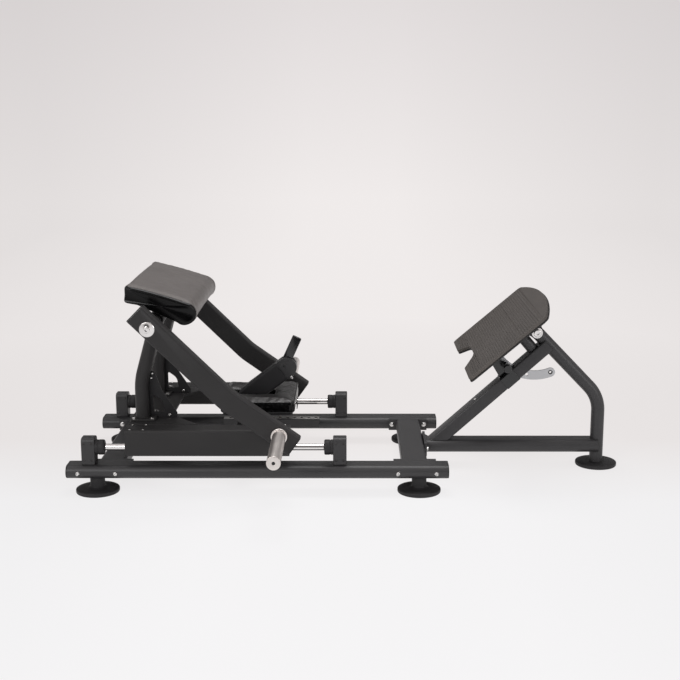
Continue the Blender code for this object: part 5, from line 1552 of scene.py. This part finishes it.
@dataclass
class Upholstery(Assembly):
    """Base of the padded pieces: swelling, leathers and seams."""

    swell_cap: float = 0.004
    swell_frames: int = 16
    pressure: float = 4.0

    def swell(self, pad: Object, held: Sequence[int]) -> None:
        """Let the leather swell between its seams by a short cloth run.

        Args:
            pad: The cushion, a closed mesh of even faces.
            held: Vertices at the seams and the seat, which stay in place.
        """
        rest = [vertex.co.copy() for vertex in pad.data.vertices]
        pad.vertex_groups.new(name="held").add(list(held), 1.0, "REPLACE")
        cloth = pad.modifiers.new("swell", "CLOTH")
        for label, value in (("quality", 5), ("mass", 0.4), ("use_pressure", True),
                             ("uniform_pressure_force", self.pressure),
                             ("shrink_min", -0.01), ("vertex_group_mass", "held")):
            setattr(cloth.settings, label, value)
        cloth.settings.effector_weights.gravity = 0.0
        cloth.collision_settings.use_collision = False
        scene = bpy.context.scene
        for number in range(1, self.swell_frames + 1):
            scene.frame_set(number)
        settled(pad)
        scene.frame_set(1)
        moves = [vertex.co - start for vertex, start in zip(pad.data.vertices, rest)]
        LOG.info("%s swelled by up to %.1f mm", pad.name,
                 max(move.length for move in moves) * 1000)
        for vertex, start, move in zip(pad.data.vertices, rest, moves):
            if move.length > self.swell_cap:
                vertex.co = start + move.normalized() * self.swell_cap
        pad.vertex_groups.clear()

    def finer(self, pad: Object) -> Object:
        """Smooth a cushion by one subdivision."""
        step = pad.modifiers.new("finer", "SUBSURF")
        step.levels = 1
        step.render_levels = 1
        settled(pad)
        return smoothed(pad, 70.0)

    def welt(self, name: str, points: Sequence[Vector], radius: float, finish: Finish) -> None:
        """Lay a thin closed welt of leather along a seam."""
        rings = []
        for index, point in enumerate(points):
            run = (points[(index + 1) % len(points)] - points[index - 1]).normalized()
            side = run.cross(Z_AXIS).normalized()
            up = side.cross(run)
            rings.append([point + (side * a + up * b) for a, b in circle(radius, 12)])
        bm = bmesh.new()
        bridged(bm, rings, closed=True)
        self.dress(entered(name, bm), finish)


@dataclass
class Seat(Upholstery):
    """The notched seat between the arms and the board that carries it."""

    body: ClassVar[Body] = Body.CARRIAGE
    front: float = -0.218
    length: float = 0.290
    half_width: float = 0.163
    thick: float = 0.050
    corner: float = 0.022
    notch: Triple = (0.038, 0.205, 0.012)
    seam: float = 0.0425
    voxel: float = 0.0045

    def build(self) -> None:
        """Build the seat."""
        self.carry("seat_board", CARRIAGE_SHADE_COAT, 0.001)
        low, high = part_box("seat_cushion")
        self.bottom = low.z
        self.crown = high.z - low.z - self.thick
        self.cushion()

    def plan(self, inset: float) -> Loop:
        """Return the seat's plan, drawn in by an inset."""
        front, rear = self.front - inset, self.front - self.length + inset
        half = self.half_width - inset
        notch, reach, hollow = self.notch
        side, floor = notch + inset, self.front - self.length + reach + inset
        corner, inner = self.corner - inset, hollow + inset
        return filleted([
            (front, -half, corner), (front, half, corner), (rear, half, corner),
            (rear, side, corner), (floor, side, inner), (floor, -side, inner),
            (rear, -side, corner), (rear, -half, corner)], 8)

    def cushion(self) -> None:
        """Build the cushion, let it swell and lay its welt."""
        sides = [(0.005, 0.0), (0.0016, 0.005), (0.0012, 0.014), (0.0020, 0.028),
                 (0.0022, 0.038), (0.0044, self.seam), (0.0062, 0.0455), (0.0110, 0.0485),
                 (0.0165, self.thick + self.crown * 0.5), (0.0212, self.thick + self.crown * 0.8)]
        bm = bmesh.new()
        verts = bridged(bm, [[at(x, y, self.bottom + height) for x, y in self.plan(inset)]
                             for inset, height in sides])
        bm.faces.new(verts[0])
        bm.faces.new(verts[-1])
        pad = entered("seat_cushion_leather", bm)
        even = pad.modifiers.new("even", "REMESH")
        even.mode = "VOXEL"
        even.voxel_size = self.voxel
        settled(pad)
        held = [vertex.index for vertex in pad.data.vertices
                if vertex.co.z < self.bottom + 0.004
                or abs(vertex.co.z - self.bottom - self.seam) < 0.0026]
        self.swell(pad, held)
        self.finer(pad)
        self.dress(pad, SEAT_TOP, "seat_cushion")
        self.two_tone(pad, PAD_SIDE, lambda face: face.center.z < self.bottom + self.seam)
        self.welt("seat_welt", [at(x, y, self.bottom + self.seam) for x, y in self.plan(0.0030)],
                  0.0024, PAD_SIDE)


@dataclass
class WeightArms(Assembly):
    """The two bent weight arms on their axle, with horns and rest pegs."""

    body: ClassVar[Body] = Body.WEIGHT_ARMS
    centre_y: float = 0.420
    breadth: float = 0.050
    depth: float = 0.080
    corner: float = 0.010
    back: float = 0.0725
    drop: float = 0.0075
    upper_length: float = 0.384
    lower_length: float = 0.297
    upper_slope: float = 44.6
    lower_slope: float = 35.5
    bend: float = 0.250
    cap: float = 0.004
    horn_radius: float = 0.0245
    horn_wall: float = 0.004
    horn_length: float = 0.323
    horn_back: float = 0.070
    horn_rise: float = 0.003
    collar: tuple[float, float] = (0.030, 0.010)

    def build(self) -> None:
        """Build the arms."""
        self.upper, self.lower = slope(-self.upper_slope), slope(-self.lower_slope)
        start = AXLE + above(self.upper) * self.drop - self.upper * self.back
        knee = start + self.upper * (self.back + self.upper_length)
        self.end = knee + self.lower * self.lower_length
        self.corners = [start + self.upper * self.cap, knee, self.end - self.lower * self.cap]
        for side in Side:
            self.arm(side)
            self.horn(side)
            self.carry(f"arm_rest_{side.label}", FOOT_RUBBER, 0.002)
        self.axle_shaft()

    def arm(self, side: Side) -> None:
        """Build one arm with a plastic cap in each end."""
        node = f"weight_arm_{side.label}"
        shift = Y_AXIS * side.value * self.centre_y
        path = bent_path([corner + shift for corner in self.corners], self.bend, 20)
        arm = swept(f"{node}_tube", path, round_box(self.breadth, self.depth, self.corner, 8))
        softened(arm, 0.0006, 2, 60.0)
        bored(arm, AXLE + shift, Y_AXIS * self.breadth, 0.018)
        self.dress(arm, PLATE_SHADE_COAT, node)
        loop = round_box(self.breadth - 0.0006, self.depth - 0.0006, self.corner, 8)
        for point, out, word in ((path[0], -self.upper, "top"), (path[-1], self.lower, "bottom")):
            lid = slab(f"{node}_cap_{word}", loop, point + out * 0.0003, Y_AXIS, above(out),
                       out * (self.cap - 0.0004), 0.0018)
            self.dress(lid, CAP_PLASTIC)

    def horn(self, side: Side) -> None:
        """Build the weight horn with its collar and end plug."""
        node = f"weight_horn_{side.label}"
        point = self.end - self.lower * self.horn_back + above(self.lower) * self.horn_rise
        face = side.value * (self.centre_y + self.breadth / 2 + 0.0003)
        radius, length = self.horn_radius, self.horn_length
        bore = radius - self.horn_wall
        collar_radius, collar = self.collar
        profile = filleted([
            (bore, 0, 0), (collar_radius, 0, 0.001), (collar_radius, collar, 0.0025),
            (radius, collar, 0.001), (radius, length, 0.0025), (0.0062, length, 0.0008),
            (0.0058, length - 0.004, 0), (bore, length - 0.004, 0)], 5)
        horn = turned(f"{node}_tube", point + Y_AXIS * face, side.out, profile, 80)
        self.dress(horn, HORN_CHROME, node)
        seat = point + Y_AXIS * (face + side.value * (length - 0.0042))
        plug = rod(f"{node}_plug", seat, seat + side.out * 0.0022, 0.0056, 0.0006, 32)
        self.dress(plug, CAP_PLASTIC)

    def axle_shaft(self) -> None:
        """Build the axle with a flat washer and a socket bolt at each end."""
        _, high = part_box("arm_axle")
        head = high.y
        face = self.centre_y + self.breadth / 2 + 0.0003
        corners = [
            (0, head, 0), (0.0095, head, 0.0015), (0.0115, head - 0.002, 0.001),
            (0.0115, face + 0.0034, 0.0012), (0.0255, face + 0.0030, 0.0015),
            (0.0275, face + 0.0018, 0.001), (0.0275, face, 0.0004), (0.0175, face, 0)]
        mirrored = [(r, -h, ease) for r, h, ease in reversed(corners)]
        shaft = lathed("arm_axle_shaft", AXLE, Y_AXIS, corners + mirrored, 4, 80)
        for side in Side:
            key = slab("key", circle(0.0058, 6), AXLE + side.out * (head + 0.002), X_AXIS, Z_AXIS,
                       side.out * -0.009)
            combined(shaft, key)
        self.dress(shaft, CHROME, "arm_axle")


@dataclass
class BackPad(Upholstery):
    """The upholstered back pad on its board and sleeve."""

    body: ClassVar[Body] = Body.BACK_PAD
    half_width: float = 0.330
    crown: float = 0.006
    seat_rise: float = 0.0386
    seat_slope: float = 24.2
    board_back: float = 0.074
    nose_centre: Point = (0.120, 0.0335)
    nose_radius: float = 0.0425
    back_reach: float = 0.102
    back_top: float = 0.1395
    back_bottom: float = 0.079
    back_corner: float = 0.012
    bulge: float = 0.005
    seam: float = 0.015
    inward_passes: int = 6
    nose_round: float = 0.024
    rear_round: float = 0.030
    stitch_pitch: float = 0.0065

    def build(self) -> None:
        """Build the back pad."""
        self.carry("pad_board", BLACK_PLASTIC, 0.0015)
        self.carry("pad_bracket", CARRIAGE_SHADE_COAT)
        self.cushion()

    def section(self) -> list[Vector]:
        """Return the cushion's side outline, resampled evenly."""
        seat = slope(-self.seat_slope)
        under = AXLE + above(seat) * (self.seat_rise + 0.0006)
        back = under - seat * self.board_back
        points = [at(back.x, 0, back.z)]
        centre = AXLE + at(self.nose_centre[0], 0, self.nose_centre[1])
        for step in range(41):
            angle = radians(-130 + 195 * step / 40)
            points.append(centre + at(cos(angle), 0, sin(angle)) * self.nose_radius)
        front = points[-1].copy()
        rear = at(AXLE.x - self.back_reach, 0, AXLE.z + self.back_top)
        low = at(AXLE.x - self.back_reach, 0, AXLE.z + self.back_bottom)
        for step in range(1, 20):
            share = step / 20
            lift = self.bulge * 4 * share * (1 - share)
            points.append(front.lerp(rear, share) + Z_AXIS * lift)
        last = points[-1]
        rounded = filleted([
            (last.x, last.z, 0), (rear.x, rear.z, self.back_corner),
            (low.x, low.z, self.back_corner), (back.x, back.z, 0)], 8)
        points += [at(a, 0, b) for a, b in rounded[1:-1]]
        return self.resampled(points, 0.0052)

    @staticmethod
    def resampled(points: Sequence[Vector], spacing: float) -> list[Vector]:
        """Return a closed polyline with evenly spaced points."""
        ring = list(points) + [points[0]]
        total = sum((b - a).length for a, b in zip(ring, ring[1:]))
        count = max(8, round(total / spacing))
        made, walked, target = [], 0.0, 0.0
        for a, b in zip(ring, ring[1:]):
            length = (b - a).length
            while target <= walked + length + 1e-9 and len(made) < count:
                made.append(a.lerp(b, min(1.0, (target - walked) / max(length, 1e-9))))
                target += total / count
            walked += length
        return made

    def cushion(self) -> None:
        """Build the cushion: pad panel, seams and side panels."""
        loop = self.section()
        count = len(loop)
        inward = []
        for index, point in enumerate(loop):
            run = (loop[(index + 1) % count] - loop[index - 1]).normalized()
            inward.append(at(-run.z, 0, run.x))
        middle = sum(loop, Vector()) / count
        if (middle - loop[0]).dot(inward[0]) < 0:
            inward = [-item for item in inward]
        for _ in range(self.inward_passes):
            inward = [(inward[i - 1] + inward[i] * 2 + inward[(i + 1) % count]).normalized()
                      for i in range(count)]
        normal = above(slope(-self.seat_slope))
        seat_z = loop[0].dot(normal)
        half, seam = self.half_width, self.half_width - self.seam
        ends = [(seam - 0.007, 0.0004), (seam - 0.0026, 0.0010), (seam - 0.0008, 0.0024),
                (seam + 0.0008, 0.0024), (seam + 0.0026, 0.0014), (half - 0.0085, 0.0020),
                (half - 0.0055, 0.0032), (half - 0.0030, 0.0050), (half - 0.0012, 0.0074),
                (half - 0.0002, 0.0102)]
        spread = ([(-y, draw) for y, draw in reversed(ends)]
                  + [(half * share / 40 * 0.93, 0.0) for share in range(-39, 40)]
                  + list(ends))
        bm = bmesh.new()
        rings = []
        for y, draw in spread:
            rise = self.crown * max(0.0, 1 - (y / half) ** 2)
            ring = []
            for point, toward in zip(loop, inward):
                lift = point.dot(normal) - seat_z
                share = min(1.0, max(0.0, (lift - 0.004) / 0.03))
                place = point + toward * draw * (0.25 + 0.75 * min(1.0, lift / 0.012))
                ring.append(place + normal * rise * share + Y_AXIS * y * self.narrowed(point))
            rings.append(ring)
        verts = bridged(bm, rings)
        for ring, out in ((verts[0], -1), (verts[-1], 1)):
            previous = ring
            centre = sum((v.co for v in ring), Vector()) / len(ring)
            for share, rise in ((0.90, 0.0003), (0.78, 0.0006), (0.64, 0.0009), (0.50, 0.0011),
                                (0.34, 0.0012), (0.18, 0.0012)):
                fresh = [bm.verts.new(centre + (v.co - centre) * share + Y_AXIS * out * rise)
                         for v in ring]
                for i in range(len(ring)):
                    j = (i + 1) % len(ring)
                    bm.faces.new((previous[i], previous[j], fresh[j], fresh[i]))
                previous = fresh
            bm.faces.new(previous)
        pad = entered("pad_cushion_leather", bm)
        floor = min(vertex.co.dot(normal) for vertex in pad.data.vertices)
        held = [vertex.index for vertex in pad.data.vertices
                if vertex.co.dot(normal) < floor + 0.006
                or abs(vertex.co.y) > (seam - 0.0016) * self.narrowed(vertex.co)]
        self.swell(pad, held)
        self.upholster(pad)
        self.stitches(pad, loop, inward, normal, seat_z)

    def narrowed(self, point: Vector) -> float:
        """Return the share of the full width left at a point's end of the pad."""
        ahead = (point.x - AXLE.x - self.nose_centre[0]) / self.nose_radius
        behind = (AXLE.x - self.back_reach + 0.03 - point.x) / 0.03
        return (1 - self.nose_round * min(1.0, max(0.0, ahead)) ** 2
                - self.rear_round * min(1.0, max(0.0, behind)) ** 2)

    def upholster(self, pad: Object) -> None:
        self.finer(pad)
        self.dress(pad, PAD_TOP, "pad_cushion")
        limit = self.half_width - self.seam
        self.two_tone(
            pad, PAD_SIDE, lambda face: abs(face.center.y) > limit * self.narrowed(face.center))

    def stitches(self, pad: Object, loop: list[Vector], inward: list[Vector],
                 normal: Vector, seat_z: float) -> None:
        """Set a row of stitches on the leather beside each end seam.

        Args:
            pad: The finished cushion, which the stitches lie on.
            loop: Side outline of the cushion.
            inward: Inward direction at each of its points.
            normal: Upper normal of the seat.
            seat_z: Height of the seat along that normal.
        """
        tree = GeometryTree("stitch_run", Pitch="Float", Length="Float", Radius="Float")
        curve = tree.out("GeometryNodeMeshToCurve", {"Mesh": tree.size("Geometry")})
        even = tree.out("GeometryNodeResampleCurve",
                        {"Curve": curve, "Length": tree.size("Pitch")}, mode="LENGTH")
        tangent = tree.out("GeometryNodeInputTangent")
        turn = tree.out("FunctionNodeAlignRotationToVector", {"Vector": tangent}, axis="Z")
        thread = tree.out(
            "GeometryNodeMeshCylinder",
            {"Vertices": 6, "Radius": tree.size("Radius"), "Depth": tree.size("Length")}, "Mesh")
        run = tree.out(
            "GeometryNodeInstanceOnPoints", {"Points": even, "Instance": thread, "Rotation": turn})
        tree.closed(run)
        leather = BVHTree.FromPolygons([vertex.co for vertex in pad.data.vertices],
                                       [face.vertices for face in pad.data.polygons])
        for side in Side:
            points = []
            for point, toward in zip(loop, inward):
                y = side.value * (self.half_width - self.seam - 0.0045) * self.narrowed(point)
                spot = leather.ray_cast(point - toward * 0.03 + Y_AXIS * y, toward, 0.06)[0]
                if spot and point.dot(normal) - seat_z > 0.012:
                    points.append(spot)
            obj = traced(
                f"pad_stitches_{side.label}", points, [(i, i + 1) for i in range(len(points) - 1)])
            tree.applied(obj, Pitch=self.stitch_pitch, Length=self.stitch_pitch * 0.62,
                         Radius=0.00045, Material=THREAD.material())
            self.dress(smoothed(obj), THREAD)


@dataclass
class Hardware(Assembly):
    """The screws and bolts of the whole machine, one mesh for each body."""

    rail_face: float = 0.384
    rail_z: float = 0.083
    rail_screws: tuple[float, ...] = (-1.015, -0.876, 0.172, 0.313)
    cover_y: float = 0.334
    cover_z: float = 0.248
    cover_screws: tuple[float, ...] = (-0.8188, -0.769, -0.298, -0.249)
    cross_face: float = 0.274
    post_y: float = 0.190
    plate_bolts: tuple[Point, ...] = (
        (-0.034, -0.055), (-0.034, 0.055), (0.034, -0.055), (0.034, 0.055))
    gusset_screws: tuple[Point, ...] = ((-0.7620, 0.4020), (-0.7575, 0.4200))
    screws: Screws = field(default_factory=Screws)

    def build(self) -> None:
        """Set every screw head."""
        rails, blocks, covers, plates, boom, flange = [], [], [], [], [], []
        _, face, middle = spanned("stand_flange")
        incline = slope(42.1)
        rails.append(Screw(at(0.3475, -0.012, 0.110) + incline * 0.214
                           + above(incline) * 0.0249, above(incline), 0.0070))
        for side in Side:
            out, sign = side.out, side.value
            rails += [Screw(at(x, sign * self.rail_face, self.rail_z), out, 0.0078)
                      for x in self.rail_screws]
            flange.append(Screw(at(face.x, sign * 0.069, middle.z), X_AXIS, 0.0095, Head.HEX))
            for end in End:
                blocks += self.block_screws(f"rod_block_{end.label}_{side.label}", end)
                cross = spanned(f"{end.label}_cross_member")[2]
                flange += [Screw(at(cross.x + way * 0.067, sign * self.cross_face, 0.087), -out,
                                 0.0095, Head.HEX) for way in (-1, 1)]
            covers += [Screw(at(x, sign * self.cover_y + dy, self.cover_z), Z_AXIS, 0.0042,
                             Head.SMALL) for x in self.cover_screws for dy in (-0.032, 0.032)]
            plates += [Screw(at(-0.789 + dx, sign * (self.post_y + dy), 0.2563), Z_AXIS,
                             0.0085, Head.HEX) for dx, dy in self.plate_bolts]
            boom += [Screw(Vector(spot) + out * (half - 0.0002), out, 0.0062) for spot, half in (
                ((-0.2371, 0, 0.3629), 0.0244), ((-0.3445, 0, 0.2526), 0.025))]
            for way in (-1, 1):
                y = sign * self.post_y + way * 0.0040
                boom.append(Screw(at(-0.6965, y, 0.2575), Y_AXIS * way, 0.0062))
                boom += [Screw(at(x, y, z), Y_AXIS * way, 0.0044) for x, z in self.gusset_screws]
        for name, heads, finish, body in (
                ("rail_screws", rails, ZINC, Body.BASE),
                ("block_screws", blocks, BLACK_OXIDE, Body.BASE),
                ("cover_screws", covers, ZINC, Body.CARRIAGE),
                ("post_plate_bolts", plates, ZINC, Body.CARRIAGE),
                ("boom_bolts", boom, ZINC, Body.CARRIAGE),
                ("flange_bolts", flange, ZINC, Body.BASE)):
            self.dress(self.screws.set_heads(name, heads, finish), finish, body=body)

    @staticmethod
    def block_screws(node: str, end: End) -> list[Screw]:
        """Return the eight small screws on the two faces of a rod block."""
        low, high, middle = spanned(node)
        centre = low.x + 0.025 if end is End.REAR else high.x - 0.025
        return [Screw(at(centre + dx, middle.y + way * 0.029, low.z + dz), Y_AXIS * way,
                      0.0042, Head.SMALL)
                for way in (-1, 1) for dx in (-0.014, 0.014) for dz in (0.018, 0.082)]


@dataclass
class Studio:
    """Pale floor and backdrop, soft lamps and the camera."""

    lens: float = 62.6601
    place: Triple = (-0.00297032, -4.56229261, 1.45894689)
    right: Triple = (0.99995796, 0.00887263, -0.00231361)
    up: Triple = (0.00045670, 0.20381429, 0.97900946)
    back: Triple = (0.00915794, -0.97896936, 0.20380167)
    radius: float = 9.0
    floor_white: Colour = (0.930, 0.922, 0.930)
    floor_far: Colour = (0.868, 0.833, 0.826)
    wall_low: Colour = (0.868, 0.833, 0.826)
    wall_high: Colour = (0.760, 0.723, 0.723)
    ambient: float = 0.22
    own_light: float = 0.88

    def build(self) -> None:
        """Build the studio."""
        scene = bpy.context.scene
        scene.view_settings.view_transform = "Standard"
        self.camera()
        self.world()
        self.floor()
        self.backdrop()
        self.curtains()
        self.lamp("key", at(-2.6, -4.2, 2.7), 2.6, 2.0, 88.0)
        self.lamp("fill", at(3.8, -3.4, 1.9), 2.4, 2.0, 46.0)
        self.lamp("top", at(0.1, 0.5, 3.4), 2.0, 1.4, 50.0)
        self.lamp("low", at(0.8, -4.4, 0.8), 4.0, 0.8, 42.0).visible_glossy = False

    def camera(self) -> None:
        """Add the camera at the photograph's angle."""
        data = bpy.data.cameras.new("camera")
        data.lens = self.lens
        data.sensor_width = 36.0
        data.clip_end = 60.0
        obj = linked("camera", data)
        turn = Matrix((self.right, self.up, self.back)).transposed().to_4x4()
        obj.matrix_world = Matrix.Translation(self.place) @ turn
        bpy.context.scene.camera = obj

    @staticmethod
    def seen(tree: ShaderTree) -> Wire:
        """Return 1 for camera, glossy and transmission rays, else 0."""
        path = tree.node("ShaderNodeLightPath")
        camera, glossy, through = (Wire(tree, path.outputs[f"Is {name} Ray"])
                                   for name in ("Camera", "Glossy", "Transmission"))
        return tree.ranged(camera + glossy + through, 0.0, 1.0)

    def world(self) -> None:
        """Light the scene evenly, with a pale world to look at."""
        world = bpy.data.worlds.new("studio")
        bpy.context.scene.world = world
        tree = ShaderTree(world)
        colour = tree.blend(
            self.seen(tree), shaded((self.ambient,) * 3, 1.0), shaded(self.wall_low, 1.0))
        tree.ended(tree.wire("ShaderNodeBackground", 0, {"Color": colour, "Strength": 1.0}),
                   "World")

    @staticmethod
    def staged(obj: Object, cloth: bpy.types.Material) -> None:
        """Give a piece of the set its material."""
        obj.data.materials.append(cloth)

    def painted(self, colour: Wire, share: Any) -> None:
        """End a backdrop material: part light of its own, part lit paint.

        Args:
            colour: Colour of the backdrop.
            share: Share of its own light where the camera sees it.
        """
        tree = colour.tree
        # Painted shade: the floor and backdrop grow darker towards their sides.
        across = tree.along("X")
        side = tree.ranged(across.maths("ABSOLUTE", across, 0.0), 0.5, 3.3, 0.0, 0.26)
        colour = tree.blend(side, colour, shaded(self.wall_high, 0.62))
        glow = tree.wire("ShaderNodeEmission", 0, {"Color": colour, "Strength": 1.0})
        paint = tree.wire("ShaderNodeBsdfDiffuse", 0, {"Color": colour})
        tree.ended(
            tree.wire("ShaderNodeMixShader", 0, {0: self.seen(tree) * share, 1: paint, 2: glow}))

    def curtains(self) -> None:
        """Hang a dark curtain on two sides of the set, met by reflections only."""
        for name, y, low, grey in (("near", -6.7, 0.5, 0.04), ("far", 5.0, 0.6, 0.55)):
            curtain = block(f"curtain_{name}", at(-6.5, y - 0.1, low), at(6.5, y + 0.1, 6.0))
            for kind in ("camera", "diffuse", "shadow", "transmission"):
                setattr(curtain, f"visible_{kind}", False)
            cloth = bpy.data.materials.new(f"curtain_cloth_{name}")
            tree = ShaderTree(cloth)
            tree.surface(tree.mottled(tree.noise(3.0), (grey,) * 3, 0.8, 1.2), 0.9)
            self.staged(curtain, cloth)

    def floor(self) -> None:
        """Add the pale floor, a little greyer behind the machine."""
        bm = bmesh.new()
        bmesh.ops.create_circle(bm, cap_ends=True, segments=96, radius=self.radius)
        paint = bpy.data.materials.new("floor_paint")
        tree = ShaderTree(paint)
        away = tree.wire("ShaderNodeVectorMath", "Value", {0: tree.place()}, operation="LENGTH")
        far = tree.ranged(tree.along("Y"), -0.45, 0.35)
        far = far.maths("MAXIMUM", far, tree.ranged(away, 4.0, 8.5))
        colour = tree.blend(far, shaded(self.floor_white, 1.0), shaded(self.floor_far, 1.0))
        self.painted(colour, tree.ranged(away, 1.3, 3.2, self.own_light, 1.0))
        self.staged(entered("floor", bm), paint)

    def backdrop(self) -> None:
        """Add the round backdrop, darker towards its top."""
        rings = []
        for step in range(25):
            angle = pi / 2 * step / 24
            radius, z = self.radius * cos(angle), self.radius * sin(angle)
            rings.append([
                at(max(radius, 1e-4) * a, max(radius, 1e-4) * b, z) for a, b in circle(1.0, 96)])
        bm = bmesh.new()
        bridged(bm, rings)
        wall = entered("backdrop", bm)
        wall.visible_diffuse = False
        wall.visible_shadow = False
        paint = bpy.data.materials.new("backdrop_paint")
        tree = ShaderTree(paint)
        high = tree.ranged(tree.along("Z"), 0.3, 2.4)
        self.painted(
            tree.blend(high, shaded(self.wall_low, 1.0), shaded(self.wall_high, 1.0)), 1.0)
        self.staged(wall, paint)

    def lamp(self, name: str, spot: Vector, width: float, height: float, power: float) -> Object:
        """Add a soft box that looks at the machine."""
        data = bpy.data.lights.new(name, "AREA")
        data.shape = "RECTANGLE"
        data.size = width
        data.size_y = height
        data.energy = power
        obj = linked(name, data)
        obj.location = spot
        obj.rotation_euler = (at(0.0, 0.0, 0.35) - spot).to_track_quat("-Z", "Y").to_euler()
        return obj


def main() -> None:
    """Build the machine in the studio and report its pieces."""
    logging.basicConfig(level=logging.INFO, format="%(name)s: %(message)s")
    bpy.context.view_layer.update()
    for assembly in (FloorFrame(), FootStand(), FootPlate(), Carriage(), Seat(), WeightArms(),
                     BackPad(), Hardware()):
        assembly.build()
        LOG.info("%s done, %d pieces so far", type(assembly).__name__, Assembly.pieces)
    Studio().build()
    bpy.context.view_layer.update()


if __name__ == "__main__":
    main()
